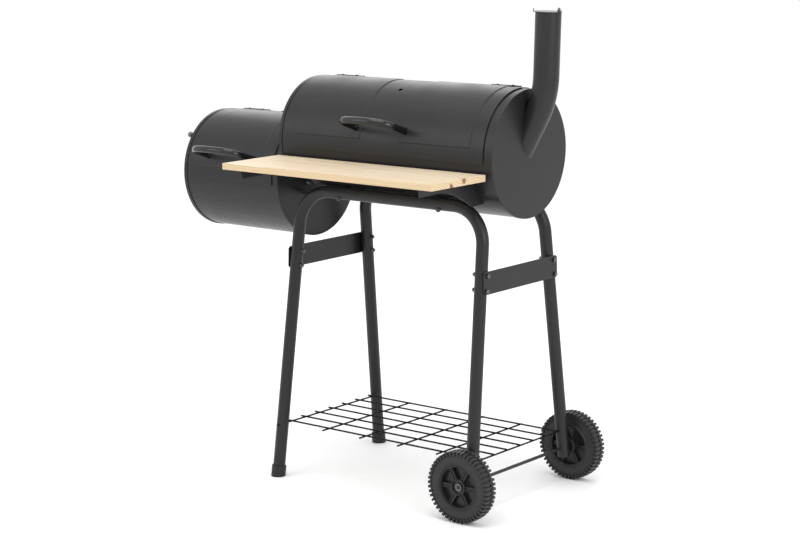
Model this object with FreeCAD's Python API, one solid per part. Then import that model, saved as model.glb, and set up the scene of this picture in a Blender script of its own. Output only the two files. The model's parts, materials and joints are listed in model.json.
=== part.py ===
"""Offset smoker: a main chamber and a firebox, both lying barrels, on a wheeled tube frame.

Units are millimetres. While the pieces are made, X runs from the firebox to the chimney with
zero at the main chamber's mid-length, Y runs from the front to the back with zero on the barrel
axis, and Z is up from the floor. At the end every piece is moved so that the origin is on the
floor under the middle of the whole outline.
"""
import FreeCAD
import Part

import math
import os

# ---- main chamber and firebox barrels ----
MAIN_LENGTH = 640.0
MAIN_Z = 830.0
FIRE_LENGTH = 319.0
FIRE_Z = 728.0
COLLAR_GAP = 6.0
SHELL_R = 149.0
SHEET = 1.5
CAP_R = 150.5
CAP_RIM = 10.0
CAP_PLAY = 0.1
LID_R = 152.0
LID_SHEET = 1.6
PANEL_RISE = 1.6
LID_TOP_DEG = -13.0
LID_LOW_DEG = 94.6
LID_BAND = 19.5
LID_CORNER = 16.0
MAIN_LID_X = -5.0
LAP = 9.0
PANEL_WIDTH = 206.0
PANEL_TOP_DEG = -8.0
PANEL_LOW_DEG = 81.7
PANEL_EDGE = 36.0
SIGHT_HOLE_R = 5.5
SIGHT_HOLE_DEG = 26.5
FIRE_RIGHT_X = -MAIN_LENGTH / 2 - COLLAR_GAP
FIRE_LEFT_X = FIRE_RIGHT_X - FIRE_LENGTH
FIRE_MID_X = FIRE_RIGHT_X - FIRE_LENGTH / 2
# ---- lid handles ----
HANDLE_DEG = 71.3
HANDLE_LENGTH = 158.0
HANDLE_HEIGHT = 20.0
HANDLE_THICK = 10.0
HANDLE_OUT_R = 243.0
HANDLE_TURN = 42.0
HANDLE_FOOT_HALF = 9.0
HANDLE_FOOT_RISE = 14.0
HANDLE_FOOT_SINK = 3.0
HANDLE_SCREW_GRIP = 13.0
# ---- hinges ----
HINGE_DEG = -15.0
HINGE_WIDTH = 64.0
HINGE_NEAR_DEG = 2.2
HINGE_LEAF_DEG = 9.0
HINGE_RIVET_DEG = 6.7
HINGE_RIVET_HALF = 22.0
HINGE_SHEET = 1.5
KNUCKLE_R = 3.0
PIN_R = 1.5
PIN_FIT = 0.05
PIN_AXIS_R = 154.0
KNUCKLE_GAP = 0.5
MAIN_HINGE_XS = (-235.0, 235.0)
FIRE_HINGE_XS = (FIRE_MID_X - 64.0, FIRE_MID_X + 64.0)
# ---- smoke passage and collar ----
SMOKE_R = 55.0
COLLAR_R = 75.0
COLLAR_BOLT_R = 65.0
SMOKE_Z = (MAIN_Z + FIRE_Z) / 2
# ---- chimney ----
PIPE_R = 30.0
PIPE_WALL = 1.5
CHIMNEY_FOOT_Z = 883.0
CHIMNEY_SLANT_DEG = 28.4
CHIMNEY_LEAN_DEG = 1.7
CHIMNEY_TOP_X = 368.2
CHIMNEY_TOP_Z = 1156.5
CHIMNEY_BEND_R = 220.0
DAMPER_R = 31.5
DAMPER_SHEET = 1.5
DAMPER_PIN_AT = 24.0
DAMPER_PIN_DEG = 38.0
# ---- air damper on the firebox's outer end ----
AIR_HOLE_R = 13.0
AIR_HOLE_AT = 34.0
AIR_DISC_R = 56.0
LEVER_AT = 127.0
LEVER_DEG = 46.0
KNOB_R = 7.5
KNOB_OUT = 30.0
KNOB_STEM_R = 2.5
KNOB_COLLAR_R = 4.5
KNOB_COLLAR = 6.0
# ---- frame ----
TUBE_R = 15.0
TUBE_WALL = 1.5
ARCH_Y = 117.5
ARCH_Z = 712.0
ARCH_HALF = 274.5
ARCH_BEND = 88.0
STANCE_HALF = 295.5
STANCE_X = 2.0
FOOT_Y = 199.5
SEAM_Z = 534.0
SPIGOT_LENGTH = 58.0
SPIGOT_PLAY = 0.2
WHEEL_LEG_LOW_Z = 64.0
FOOT_CAP_R = 18.0
FOOT_CAP_HEIGHT = 27.0
FOOT_CAP_FLOOR = 4.0
ARCH_BOLT_X = 151.0
BRACE_LOW_Z = 517.5
BRACE_TOP_Z = 571.0
BRACE_HALF = 149.0
BRACE_SHEET = 2.5
BRACE_BOLT_ZS = (526.0, 561.0)
# ---- fasteners ----
BOLT_R = 3.0
BOLT_HOLE_R = 3.1
HEAD_R = 5.5
HEAD_HEIGHT = 3.5
NUT_R = 5.5
NUT_HEIGHT = 5.0
RIVET_R = 2.0
RIVET_HEAD_R = 3.5
RIVET_HEAD = 1.2
# ---- wheels and axle ----
WHEEL_R = 85.0
AXLE_Z = 85.0
AXLE_R = 4.0
AXLE_FIT = 0.08
WHEEL_OUT_Y = 247.0
TYRE_WIDTH = 38.0
TYRE_CORE_R = 81.5
TYRE_BORE_R = 52.5
RIM_R = 52.4
RIM_IN_R = 47.0
HUB_R = 19.0
HUB_WELL_R = 15.5
HUB_WELL = 9.0
WHEEL_FACE_INSET = 2.0
WEB_AT = 17.0
WEB_THICK = 4.0
SPOKES = 6
SPOKE_AT = 8.0
SPOKE_HALF = 4.5
LUGS = 48
LUG_SHARE = 0.62
AXLE_CAP_R = 9.0
AXLE_CAP = 3.0
AXLE_END = 4.0
# ---- bottom shelf ----
SHELF_Z = 130.0
WIRE_R = 2.1
WIRE_SINK = 0.5
CROSS_WIRES = 6
LONG_WIRES = 7
LONG_PITCH = 53.0
CROSS_HALF = 174.5
END_CROSS_HALF = 206.0
LONG_OVERHANG = 7.0
INNER_CROSS_SHIFT = 5.0
# ---- front table ----
BOARD_LEFT = -318.0
BOARD_LENGTH = 624.0
BOARD_FRONT = -354.0
BOARD_DEPTH = 200.0
BOARD_TOP = 796.5
BOARD_THICK = 15.0
BRACKET_XS = {"left": -268.0, "right": 263.0}
BRACKET_SHEET = 2.0
BRACKET_TIP_Y = -347.0
BRACKET_FLANGE = 20.0
BRACKET_LOW_Z = 762.0
BRACKET_TIP_SLANT = 6.0
BRACKET_RUN = 82.0
BRACKET_BEND_Y = 142.0
BRACKET_BEND_DROP = 13.0
BRACKET_HEEL_Y = 199.0
FLANGE_TOP_DEG = 114.0
FLANGE_LOW_DEG = 137.0
BRACKET_BOLT_IN_DEG = 6.0
# ---- grates ----
COOK_Z = 798.0
COAL_Z = 748.0
FIRE_GRATE_Z = 668.0
GRATE_PLAY = 4.0
ROD_R = 2.5
CROSS_ROD_R = 2.0
COOK_PITCH = 15.0
COAL_PITCH = 20.0
GRATE_MAIN_END = 24.0
GRATE_FIRE_END = 18.0
GRATE_HALF_GAP = 2.0
REST_WIDTH = 14.0
REST_BITE = 4.0
REST_THICK = 2.0

V = FreeCAD.Vector
X_AXIS = V(1, 0, 0)
Y_AXIS = V(0, 1, 0)
Z_AXIS = V(0, 0, 1)


def rod(start, direction, radius, length):
    """A cylinder from a start point along a direction."""
    return Part.makeCylinder(radius, length, start, direction)


def ring(start, direction, r_out, r_in, length):
    """A round tube from a start point along a direction."""
    back = V(direction).normalize() * -1.0
    return rod(start, direction, r_out, length).cut(rod(start + back, direction, r_in, length + 2.0))


def box(x0, x1, y0, y1, z0, z1):
    """A box between two corners."""
    return Part.makeBox(x1 - x0, y1 - y0, z1 - z0, V(x0, y0, z0))


def join(shapes):
    """One solid from several that overlap."""
    solid = shapes[0].multiFuse(shapes[1:])
    return solid.removeSplitter()


def outward(deg):
    """The direction from a barrel's axis at an angle from the top towards the front."""
    turn = math.radians(deg)
    return V(0, -math.sin(turn), math.cos(turn))


def on_barrel(x, deg, radius, axis_z):
    """A point on a barrel, by angle from the top towards the front."""
    return V(x, 0, axis_z) + outward(deg) * radius


def sector(r_out, r_in, x0, x1, axis_z, top_deg, low_deg):
    """A curved plate: part of a tube along X between two angles."""
    mid_deg = (top_deg + low_deg) / 2
    corners = [on_barrel(x0, deg, r, axis_z) for r, deg in
               ((r_out, top_deg), (r_out, mid_deg), (r_out, low_deg),
                (r_in, low_deg), (r_in, mid_deg), (r_in, top_deg))]
    edges = [Part.Arc(corners[0], corners[1], corners[2]).toShape(),
             Part.makeLine(corners[2], corners[3]),
             Part.Arc(corners[3], corners[4], corners[5]).toShape(),
             Part.makeLine(corners[5], corners[0])]
    return Part.Face(Part.Wire(edges)).extrude(V(x1 - x0, 0, 0))


def rounded_prism(x0, x1, z0, z1, radius, y0, y1):
    """A plate across Y whose two lower corners are rounded."""
    plate = box(x0, x1, y0, y1, z0, z1)
    low = [e for e in plate.Edges if e.BoundBox.YLength > 1 and e.BoundBox.ZMax < z0 + 0.01]
    return plate.makeFillet(radius, low)


def hexagon(start, direction, radius, height):
    """A hexagonal prism, for nuts, from a start point along a direction."""
    along = V(direction).normalize()
    side = along.cross(X_AXIS)
    if side.Length < 0.1:
        side = along.cross(Y_AXIS)
    side = side.normalize() * radius
    turn = FreeCAD.Rotation(along, 60)
    points = [start + side]
    for _ in range(6):
        side = turn.multVec(side)
        points.append(start + side)
    return Part.Face(Part.makePolygon(points)).extrude(along * height)


def bolt(seat, direction, radius, grip, head_r, head_height):
    """A headed fastener: the head is behind the seat, the shank runs along the direction."""
    along = V(direction).normalize()
    head = rod(seat - along * head_height, along, head_r, head_height)
    return head.fuse(rod(seat - along, along, radius, grip + 1.0))


def nut(seat, direction):
    """A hexagonal nut on a frame bolt."""
    along = V(direction).normalize()
    body = hexagon(seat, along, NUT_R, NUT_HEIGHT)
    return body.cut(rod(seat - along, along, BOLT_HOLE_R, NUT_HEIGHT + 2.0))


def drill(shape, points, direction, radius, depth):
    """Cut round holes of one direction at several points, each centred on its point."""
    along = V(direction).normalize()
    cutters = [rod(p - along * depth / 2, along, radius, depth) for p in points]
    return shape.cut(cutters)


# ---------------------------------------------------------------- barrels and lids
def shell(x0, x1, axis_z, lid_x0, lid_x1):
    """A barrel's sheet wall with the front opening that its lid laps over."""
    wall = ring(V(x0, 0, axis_z), X_AXIS, SHELL_R, SHELL_R - SHEET, x1 - x0)
    lap_deg = math.degrees(LAP / SHELL_R)
    opening = sector(SHELL_R + 5, SHELL_R - 9, lid_x0 + LAP, lid_x1 - LAP, axis_z,
                     LID_TOP_DEG + lap_deg, LID_LOW_DEG - lap_deg)
    return wall.cut(opening)


def cap(face_x, inward, axis_z):
    """A barrel's flanged end cap: face_x is its outer face and inward is +1 or -1 along X."""
    disc = rod(V(face_x, 0, axis_z), X_AXIS * inward, CAP_R, SHEET)
    rim = ring(V(face_x, 0, axis_z), X_AXIS * inward, CAP_R, SHELL_R + CAP_PLAY, CAP_RIM)
    solid = disc.fuse(rim).removeSplitter()
    edge = [e for e in solid.Edges if abs(e.BoundBox.XMin - face_x) < 0.01
            and e.BoundBox.XLength < 0.01 and e.Length > 2 * math.pi * (CAP_R - 1)]
    return solid.makeFillet(1.0, edge)


def lid(x0, x1, axis_z, panels):
    """A quarter barrel lid with round lower corners and raised panels."""
    sheet = sector(LID_R, LID_R - LID_SHEET, x0, x1, axis_z, LID_TOP_DEG, LID_LOW_DEG)
    low_z = axis_z + LID_R * math.cos(math.radians(LID_LOW_DEG)) - 0.5
    outline = rounded_prism(x0, x1, low_z, axis_z + 2 * LID_R, LID_CORNER, -2 * LID_R, 0)
    pieces = [sheet.common(outline)]
    for start in panels:
        raised = sector(LID_R + PANEL_RISE, LID_R - LID_SHEET / 2, start, start + PANEL_WIDTH,
                        axis_z, PANEL_TOP_DEG, PANEL_LOW_DEG)
        pieces.append(raised)
    return join(pieces)


def handle(mid_x, axis_z, foot_r):
    """A bow handle: a bar stood well off the lid on two round-cornered ends."""
    half = HANDLE_LENGTH / 2
    outer = box(mid_x - half, mid_x + half, -HANDLE_HEIGHT / 2, HANDLE_HEIGHT / 2,
                foot_r - HANDLE_FOOT_SINK, HANDLE_OUT_R)
    top = [e for e in outer.Edges if e.BoundBox.YLength > 1 and e.BoundBox.ZMin > HANDLE_OUT_R - 0.01]
    outer = outer.makeFillet(HANDLE_TURN, top)
    inner = box(mid_x - half + HANDLE_THICK, mid_x + half - HANDLE_THICK, -HANDLE_HEIGHT,
                HANDLE_HEIGHT, foot_r - 40, HANDLE_OUT_R - HANDLE_THICK)
    top = [e for e in inner.Edges if e.BoundBox.YLength > 1
           and e.BoundBox.ZMin > HANDLE_OUT_R - HANDLE_THICK - 0.01]
    inner = inner.makeFillet(HANDLE_TURN - HANDLE_THICK, top)
    bow = outer.cut(inner)
    feet = [box(x - HANDLE_FOOT_HALF, x + HANDLE_FOOT_HALF, -HANDLE_HEIGHT / 2, HANDLE_HEIGHT / 2,
                foot_r - HANDLE_FOOT_SINK, foot_r + HANDLE_FOOT_RISE) for x in handle_feet(mid_x)]
    bow = join([bow] + feet)
    # the foot follows the round lid
    bow = bow.cut(rod(V(mid_x - HANDLE_LENGTH, 0, 0), X_AXIS, foot_r + 0.1, 2 * HANDLE_LENGTH))
    for x in handle_feet(mid_x):
        bow = bow.cut(rod(V(x, 0, foot_r - 5), Z_AXIS, BOLT_HOLE_R, 17))
    bow.rotate(V(0, 0, 0), X_AXIS, HANDLE_DEG)
    bow.translate(V(0, 0, axis_z))
    return bow


def handle_feet(mid_x):
    """Where along X a handle's two screws are."""
    half = HANDLE_LENGTH / 2 - HANDLE_FOOT_HALF
    return (mid_x - half, mid_x + half)


def handle_screws(mid_x, axis_z):
    """The two screws that come through the lid from inside into the handle."""
    along = outward(HANDLE_DEG)
    seat_r = LID_R - LID_SHEET - 0.4
    screws = [bolt(on_barrel(x, HANDLE_DEG, seat_r, axis_z), along, BOLT_R, HANDLE_SCREW_GRIP, HEAD_R, 2.0)
              for x in handle_feet(mid_x)]
    return Part.makeCompound(screws)


def drill_handle_holes(sheet, mid_x, axis_z):
    """Holes in a lid for its handle's screws."""
    points = [on_barrel(x, HANDLE_DEG, LID_R, axis_z) for x in handle_feet(mid_x)]
    return drill(sheet, points, outward(HANDLE_DEG), BOLT_HOLE_R, 20.0)


# ---------------------------------------------------------------- hinges
def hinge_leaf(mid_x, axis_z, side, sheet_r):
    """A hinge leaf: side is +1 for the shell's leaf behind the pin, -1 for the lid's in front."""
    half = HINGE_WIDTH / 2
    third = HINGE_WIDTH / 3
    near_deg, far_deg = sorted((-side * HINGE_NEAR_DEG, -side * (HINGE_NEAR_DEG + HINGE_LEAF_DEG)))
    plate = sector(sheet_r + HINGE_SHEET, sheet_r + 0.1, mid_x - half, mid_x + half, axis_z,
                   near_deg, far_deg)
    spans = [(-half, -third / 2 - KNUCKLE_GAP), (third / 2 + KNUCKLE_GAP, half)]
    if side < 0:
        spans = [(-third / 2, third / 2)]
    pieces = [plate]
    for start, end in spans:
        x0, x1 = mid_x + start, mid_x + end
        pieces.append(rod(V(x0, 0, axis_z + PIN_AXIS_R), X_AXIS, KNUCKLE_R, x1 - x0))
        inner_y, outer_y = sorted((side * 1.5, side * 7.0))
        pieces.append(box(x0, x1, inner_y, outer_y, axis_z + sheet_r + 0.1,
                          axis_z + sheet_r + HINGE_SHEET))
        inner_y, outer_y = sorted((side * 1.0, side * 2.9))
        pieces.append(box(x0, x1, inner_y, outer_y, axis_z + sheet_r + 0.1, axis_z + PIN_AXIS_R))
    leaf = join(pieces)
    bore = rod(V(mid_x - HINGE_WIDTH, 0, axis_z + PIN_AXIS_R), X_AXIS, PIN_R + PIN_FIT,
               2 * HINGE_WIDTH)
    leaf = leaf.cut(bore)
    leaf.rotate(V(0, 0, axis_z), X_AXIS, HINGE_DEG)
    along = outward(rivet_deg(side))
    return drill(leaf, rivet_points(mid_x, axis_z, side), along, RIVET_R + 0.1, 20.0)


def rivet_deg(side):
    """The angle of a leaf's rivets from the barrel's top."""
    return HINGE_DEG - side * HINGE_RIVET_DEG


def rivet_points(mid_x, axis_z, side):
    """Where a leaf's two rivets pass through the sheet."""
    return [on_barrel(mid_x + dx, rivet_deg(side), SHELL_R, axis_z)
            for dx in (-HINGE_RIVET_HALF, HINGE_RIVET_HALF)]


def hinge_rivets(xs, axis_z, side, sheet_r):
    """The rivets of several leaves, with their heads outside."""
    down = outward(rivet_deg(side)) * -1.0
    seat_r = sheet_r + HINGE_SHEET + 0.1
    rivets = []
    for mid_x in xs:
        for dx in (-HINGE_RIVET_HALF, HINGE_RIVET_HALF):
            seat = on_barrel(mid_x + dx, rivet_deg(side), seat_r, axis_z)
            rivets.append(bolt(seat, down, RIVET_R, HINGE_SHEET + SHEET + 1.0, RIVET_HEAD_R,
                               RIVET_HEAD))
    return rivets


def hinge_pin(mid_x, axis_z):
    """A hinge's pin."""
    start = on_barrel(mid_x - HINGE_WIDTH / 2, HINGE_DEG, PIN_AXIS_R, axis_z)
    return rod(start, X_AXIS, PIN_R, HINGE_WIDTH)


def drill_rivet_holes(sheet, xs, axis_z, side):
    """Holes in a sheet for the rivets of its leaves."""
    for mid_x in xs:
        sheet = drill(sheet, rivet_points(mid_x, axis_z, side), outward(rivet_deg(side)),
                      RIVET_R + 0.1, 20.0)
    return sheet


# ---------------------------------------------------------------- chambers
def main_chamber(parts):
    """Main barrel: shell, end caps, lid, handle and the smoke and chimney openings."""
    half = MAIN_LENGTH / 2
    x0, x1 = MAIN_LID_X - half + LID_BAND, MAIN_LID_X + half - LID_BAND
    wall = shell(-half + SHEET, half - SHEET, MAIN_Z, x0, x1)
    wall = drill_rivet_holes(wall, MAIN_HINGE_XS, MAIN_Z, 1)
    for seats, along in (arch_bolt_seats(-1), arch_bolt_seats(1)):
        wall = drill(wall, seats, along, BOLT_HOLE_R, 12.0)
    for name in BRACKET_XS:
        for deg in bracket_bolt_degs():
            point = on_barrel(flange_mid_x(name), deg, SHELL_R, MAIN_Z)
            wall = drill(wall, [point], outward(deg), BOLT_HOLE_R, 12.0)
    parts["main_shell"] = wall
    left = cap(-half, 1, MAIN_Z)
    parts["main_cap_left"] = drill_smoke_passage(left)
    right = cap(half, -1, MAIN_Z)
    parts["main_cap_right"] = right.cut(chimney_sweep(PIPE_R - PIPE_WALL, 40.0))
    cover = lid(x0, x1, MAIN_Z, (x0 + PANEL_EDGE, x1 - PANEL_EDGE - PANEL_WIDTH))
    sight = on_barrel(MAIN_LID_X, SIGHT_HOLE_DEG, LID_R, MAIN_Z)
    cover = drill(cover, [sight], outward(SIGHT_HOLE_DEG), SIGHT_HOLE_R, 12.0)
    cover = drill_handle_holes(cover, MAIN_LID_X, MAIN_Z)
    parts["main_lid"] = drill_rivet_holes(cover, MAIN_HINGE_XS, MAIN_Z, -1)
    parts["main_lid_handle"] = handle(MAIN_LID_X, MAIN_Z, LID_R + PANEL_RISE)
    parts["main_lid_handle_screws"] = handle_screws(MAIN_LID_X, MAIN_Z)


def firebox(parts):
    """Firebox barrel: shell, end caps, lid, handle, smoke opening and air holes."""
    x0, x1 = FIRE_LEFT_X + LID_BAND, FIRE_RIGHT_X - LID_BAND
    wall = shell(FIRE_LEFT_X + SHEET, FIRE_RIGHT_X - SHEET, FIRE_Z, x0, x1)
    parts["firebox_shell"] = drill_rivet_holes(wall, FIRE_HINGE_XS, FIRE_Z, 1)
    left = cap(FIRE_LEFT_X, 1, FIRE_Z)
    left = drill(left, air_hole_points(FIRE_LEFT_X), X_AXIS, AIR_HOLE_R, 20.0)
    parts["firebox_cap_left"] = drill(left, [V(FIRE_LEFT_X, 0, FIRE_Z)], X_AXIS, 4.1, 20.0)
    right = cap(FIRE_RIGHT_X, -1, FIRE_Z)
    parts["firebox_cap_right"] = drill_smoke_passage(right)
    cover = lid(x0, x1, FIRE_Z, (FIRE_MID_X - PANEL_WIDTH / 2,))
    cover = drill_handle_holes(cover, FIRE_MID_X, FIRE_Z)
    parts["firebox_lid"] = drill_rivet_holes(cover, FIRE_HINGE_XS, FIRE_Z, -1)
    parts["firebox_lid_handle"] = handle(FIRE_MID_X, FIRE_Z, LID_R + PANEL_RISE)
    parts["firebox_lid_handle_screws"] = handle_screws(FIRE_MID_X, FIRE_Z)


def hinges(parts):
    """Hinge leaves, pins and rivets of both lids."""
    fixed = [hinge_leaf(x, MAIN_Z, 1, SHELL_R) for x in MAIN_HINGE_XS]
    fixed += [hinge_leaf(x, FIRE_Z, 1, SHELL_R) for x in FIRE_HINGE_XS]
    parts["hinge_fixed_leaves"] = Part.makeCompound(fixed)
    for name, xs, axis_z in (("main_lid", MAIN_HINGE_XS, MAIN_Z), ("firebox_lid", FIRE_HINGE_XS, FIRE_Z)):
        leaves = [hinge_leaf(x, axis_z, -1, LID_R + PANEL_RISE) for x in xs]
        parts[name + "_hinge_leaves"] = Part.makeCompound(leaves)
        rivets = hinge_rivets(xs, axis_z, -1, LID_R + PANEL_RISE)
        parts[name + "_rivets"] = Part.makeCompound(rivets)
    pins = [hinge_pin(x, MAIN_Z) for x in MAIN_HINGE_XS] + [hinge_pin(x, FIRE_Z) for x in FIRE_HINGE_XS]
    parts["hinge_pins"] = Part.makeCompound(pins)
    rivets = hinge_rivets(MAIN_HINGE_XS, MAIN_Z, 1, SHELL_R)
    rivets += hinge_rivets(FIRE_HINGE_XS, FIRE_Z, 1, SHELL_R)
    parts["hinge_fixed_rivets"] = Part.makeCompound(rivets)


# ---------------------------------------------------------------- smoke collar
def collar_bolt_points(x):
    """The four bolts round the smoke passage."""
    step = COLLAR_BOLT_R / math.sqrt(2)
    return [V(x, sy * step, SMOKE_Z + sz * step) for sy in (-1, 1) for sz in (-1, 1)]


def drill_smoke_passage(sheet):
    """The smoke opening and its bolt holes through an end cap."""
    mid_x = -MAIN_LENGTH / 2 - COLLAR_GAP / 2
    sheet = drill(sheet, [V(mid_x, 0, SMOKE_Z)], X_AXIS, SMOKE_R, 30.0)
    return drill(sheet, collar_bolt_points(mid_x), X_AXIS, BOLT_HOLE_R, 30.0)


def smoke_collar(parts):
    """Spacer ring between the two barrels and the bolts that clamp it."""
    body = rod(V(FIRE_RIGHT_X, 0, SMOKE_Z), X_AXIS, COLLAR_R, COLLAR_GAP)
    parts["smoke_collar"] = drill_smoke_passage(body)
    grip = COLLAR_GAP + 2 * SHEET
    inside_x = FIRE_RIGHT_X - SHEET
    bolts = [bolt(p, X_AXIS, BOLT_R, grip + NUT_HEIGHT + 2, HEAD_R, HEAD_HEIGHT)
             for p in collar_bolt_points(inside_x)]
    parts["collar_bolts"] = Part.makeCompound(bolts)
    nuts = [nut(p, X_AXIS) for p in collar_bolt_points(inside_x + grip)]
    parts["collar_nuts"] = Part.makeCompound(nuts)


# ---------------------------------------------------------------- air damper
def air_hole_points(x):
    """Three air holes round the end cap's middle."""
    turns = [math.radians(90 + 120 * n) for n in range(3)]
    return [V(x, AIR_HOLE_AT * math.cos(t), FIRE_Z + AIR_HOLE_AT * math.sin(t)) for t in turns]


def knob(seat):
    """The lever's knob, turned in one piece: stem, collar and ball."""
    collar_start = SHEET + 0.1
    collar_end = collar_start + KNOB_COLLAR
    ball_start = KNOB_OUT - math.sqrt(KNOB_R ** 2 - KNOB_STEM_R ** 2)
    outline = [(0, 0), (0, KNOB_STEM_R), (collar_start, KNOB_STEM_R), (collar_start, KNOB_COLLAR_R),
               (collar_end, KNOB_COLLAR_R), (collar_end, KNOB_STEM_R), (ball_start, KNOB_STEM_R)]
    points = [seat + V(-out, 0, r) for out, r in outline]
    edges = [Part.makeLine(a, b) for a, b in zip(points, points[1:])]
    side = seat + V(-KNOB_OUT, 0, KNOB_R)
    tip = seat + V(-KNOB_OUT - KNOB_R, 0, 0)
    edges += [Part.Arc(points[-1], side, tip).toShape(), Part.makeLine(tip, points[0])]
    return Part.Face(Part.Wire(edges)).revolve(seat, X_AXIS, 360)


def air_damper(parts):
    """Turning disc with a lever and a ball knob, on a rivet in the outer end cap."""
    face_x = FIRE_LEFT_X - 0.3
    centre = V(face_x, 0, FIRE_Z)
    disc = rod(centre, X_AXIS * -1, AIR_DISC_R, SHEET)
    lever = box(face_x - SHEET, face_x, -7, 7, AIR_DISC_R - 8, LEVER_AT + 8)
    tip = [e for e in lever.Edges if e.BoundBox.XLength > 1 and e.BoundBox.ZMin > LEVER_AT + 7.9]
    lever = lever.makeFillet(6.5, tip)
    lever = lever.cut(rod(V(face_x + 5, 0, LEVER_AT), X_AXIS * -1, 2.6, 12))
    lever.rotate(V(0, 0, 0), X_AXIS, LEVER_DEG)
    lever.translate(V(0, 0, FIRE_Z))
    disc = join([disc, lever])
    disc = drill(disc, air_hole_points(face_x), X_AXIS, AIR_HOLE_R, 20.0)
    parts["air_damper_disc"] = drill(disc, [centre], X_AXIS, 4.0 + PIN_FIT, 20.0)
    rivet = rod(V(face_x - SHEET - 0.2, 0, FIRE_Z), X_AXIS, 4.0, SHEET + 6.0)
    head = rod(V(face_x - SHEET - 3.2, 0, FIRE_Z), X_AXIS, 8.0, 3.0)
    parts["air_damper_rivet"] = rivet.fuse(head)
    parts["air_damper_knob"] = knob(on_barrel(face_x, LEVER_DEG, LEVER_AT, FIRE_Z))


# ---------------------------------------------------------------- chimney
def chimney_points():
    """The pipe's centre line: foot on the cap, corner of the bend, and top."""
    slant = math.tan(math.radians(CHIMNEY_SLANT_DEG))
    lean = math.tan(math.radians(CHIMNEY_LEAN_DEG))
    foot = V(MAIN_LENGTH / 2, 0, CHIMNEY_FOOT_Z)
    top = V(CHIMNEY_TOP_X, 0, CHIMNEY_TOP_Z)
    rise = (top.x - foot.x - lean * (top.z - foot.z)) / (slant - lean)
    corner = V(foot.x + slant * rise, 0, foot.z + rise)
    return foot, corner, top


def chimney_sweep(radius, extra):
    """A solid bar of one radius along the pipe's line, its foot lengthened into the chamber."""
    foot, corner, top = chimney_points()
    into = (corner - foot).normalize()
    up = (top - corner).normalize()
    turn = math.radians(CHIMNEY_SLANT_DEG - CHIMNEY_LEAN_DEG)
    tangent = CHIMNEY_BEND_R * math.tan(turn / 2)
    bend_in = corner - into * tangent
    bend_out = corner + up * tangent
    mid = corner + (up - into).normalize() * (CHIMNEY_BEND_R / math.cos(turn / 2) - CHIMNEY_BEND_R)
    start = foot - into * extra
    path = Part.Wire([Part.makeLine(start, bend_in), Part.Arc(bend_in, mid, bend_out).toShape(),
                      Part.makeLine(bend_out, top)])
    section = Part.Wire([Part.makeCircle(radius, start, into)])
    return path.makePipeShell([section], True, False)


def chimney(parts):
    """Bent pipe, its pivot lug, the turning damper cover and its pin."""
    foot, corner, top = chimney_points()
    pipe = chimney_sweep(PIPE_R, 70.0).cut(chimney_sweep(PIPE_R - PIPE_WALL, 90.0))
    inside = box(MAIN_LENGTH / 2 - 200, MAIN_LENGTH / 2, -60, 60, CHIMNEY_FOOT_Z - 200,
                 CHIMNEY_FOOT_Z + 150)
    pipe = pipe.cut(inside)
    turn = math.radians(DAMPER_PIN_DEG)
    reach = PIPE_R - 0.5
    lug = box(DAMPER_PIN_AT - 5, reach, -4, 4, -11, -1)
    lug = lug.common(rod(V(0, 0, -12), Z_AXIS, reach, 14))
    lug = lug.cut(rod(V(DAMPER_PIN_AT, 0, -20), Z_AXIS, 2.6, 30))
    disc = rod(V(0, 0, 0.3), Z_AXIS, DAMPER_R, DAMPER_SHEET)
    disc = disc.cut(rod(V(DAMPER_PIN_AT, 0, -5), Z_AXIS, 2.5 + PIN_FIT, 20))
    tab = box(-DAMPER_R - 3, -DAMPER_R + 3, -6, 6, 0.3, 0.3 + DAMPER_SHEET)
    lip = box(-DAMPER_R - 3, -DAMPER_R - 1.5, -6, 6, 0.3, 8)
    disc = join([disc, tab, lip])
    pin = rod(V(DAMPER_PIN_AT, 0, -10), Z_AXIS, 2.5, 20)
    pin_nut = hexagon(V(DAMPER_PIN_AT, 0, 0.3 + DAMPER_SHEET + 0.2), Z_AXIS, 4.6, 4.5)
    pin = join([pin, pin_nut])
    for piece in (lug, disc, pin):
        piece.rotate(V(0, 0, 0), Z_AXIS, math.degrees(turn))
        piece.rotate(V(0, 0, 0), Y_AXIS, CHIMNEY_LEAN_DEG)
        piece.translate(top)
    parts["chimney_pipe"] = join([pipe, lug])
    parts["chimney_damper"] = disc
    parts["chimney_damper_pin"] = pin


# ---------------------------------------------------------------- tube frame
def leg_point(side_x, side_y, z):
    """The centre line of a leg at a height: side_x and side_y are -1 or +1."""
    down = 1.0 - z / ARCH_Z
    x = STANCE_X + side_x * (ARCH_HALF + (STANCE_HALF - ARCH_HALF) * down)
    return V(x, side_y * (ARCH_Y + (FOOT_Y - ARCH_Y) * down), z)


def leg_down(side_x, side_y):
    """The unit direction down a leg."""
    return (leg_point(side_x, side_y, 0) - leg_point(side_x, side_y, ARCH_Z)).normalize()


def leg_bar(side_x, side_y, z_top, z_low, radius):
    """A solid round bar along a leg between two heights."""
    top = leg_point(side_x, side_y, z_top)
    low = leg_point(side_x, side_y, z_low)
    return rod(top, low - top, radius, (low - top).Length)


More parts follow.
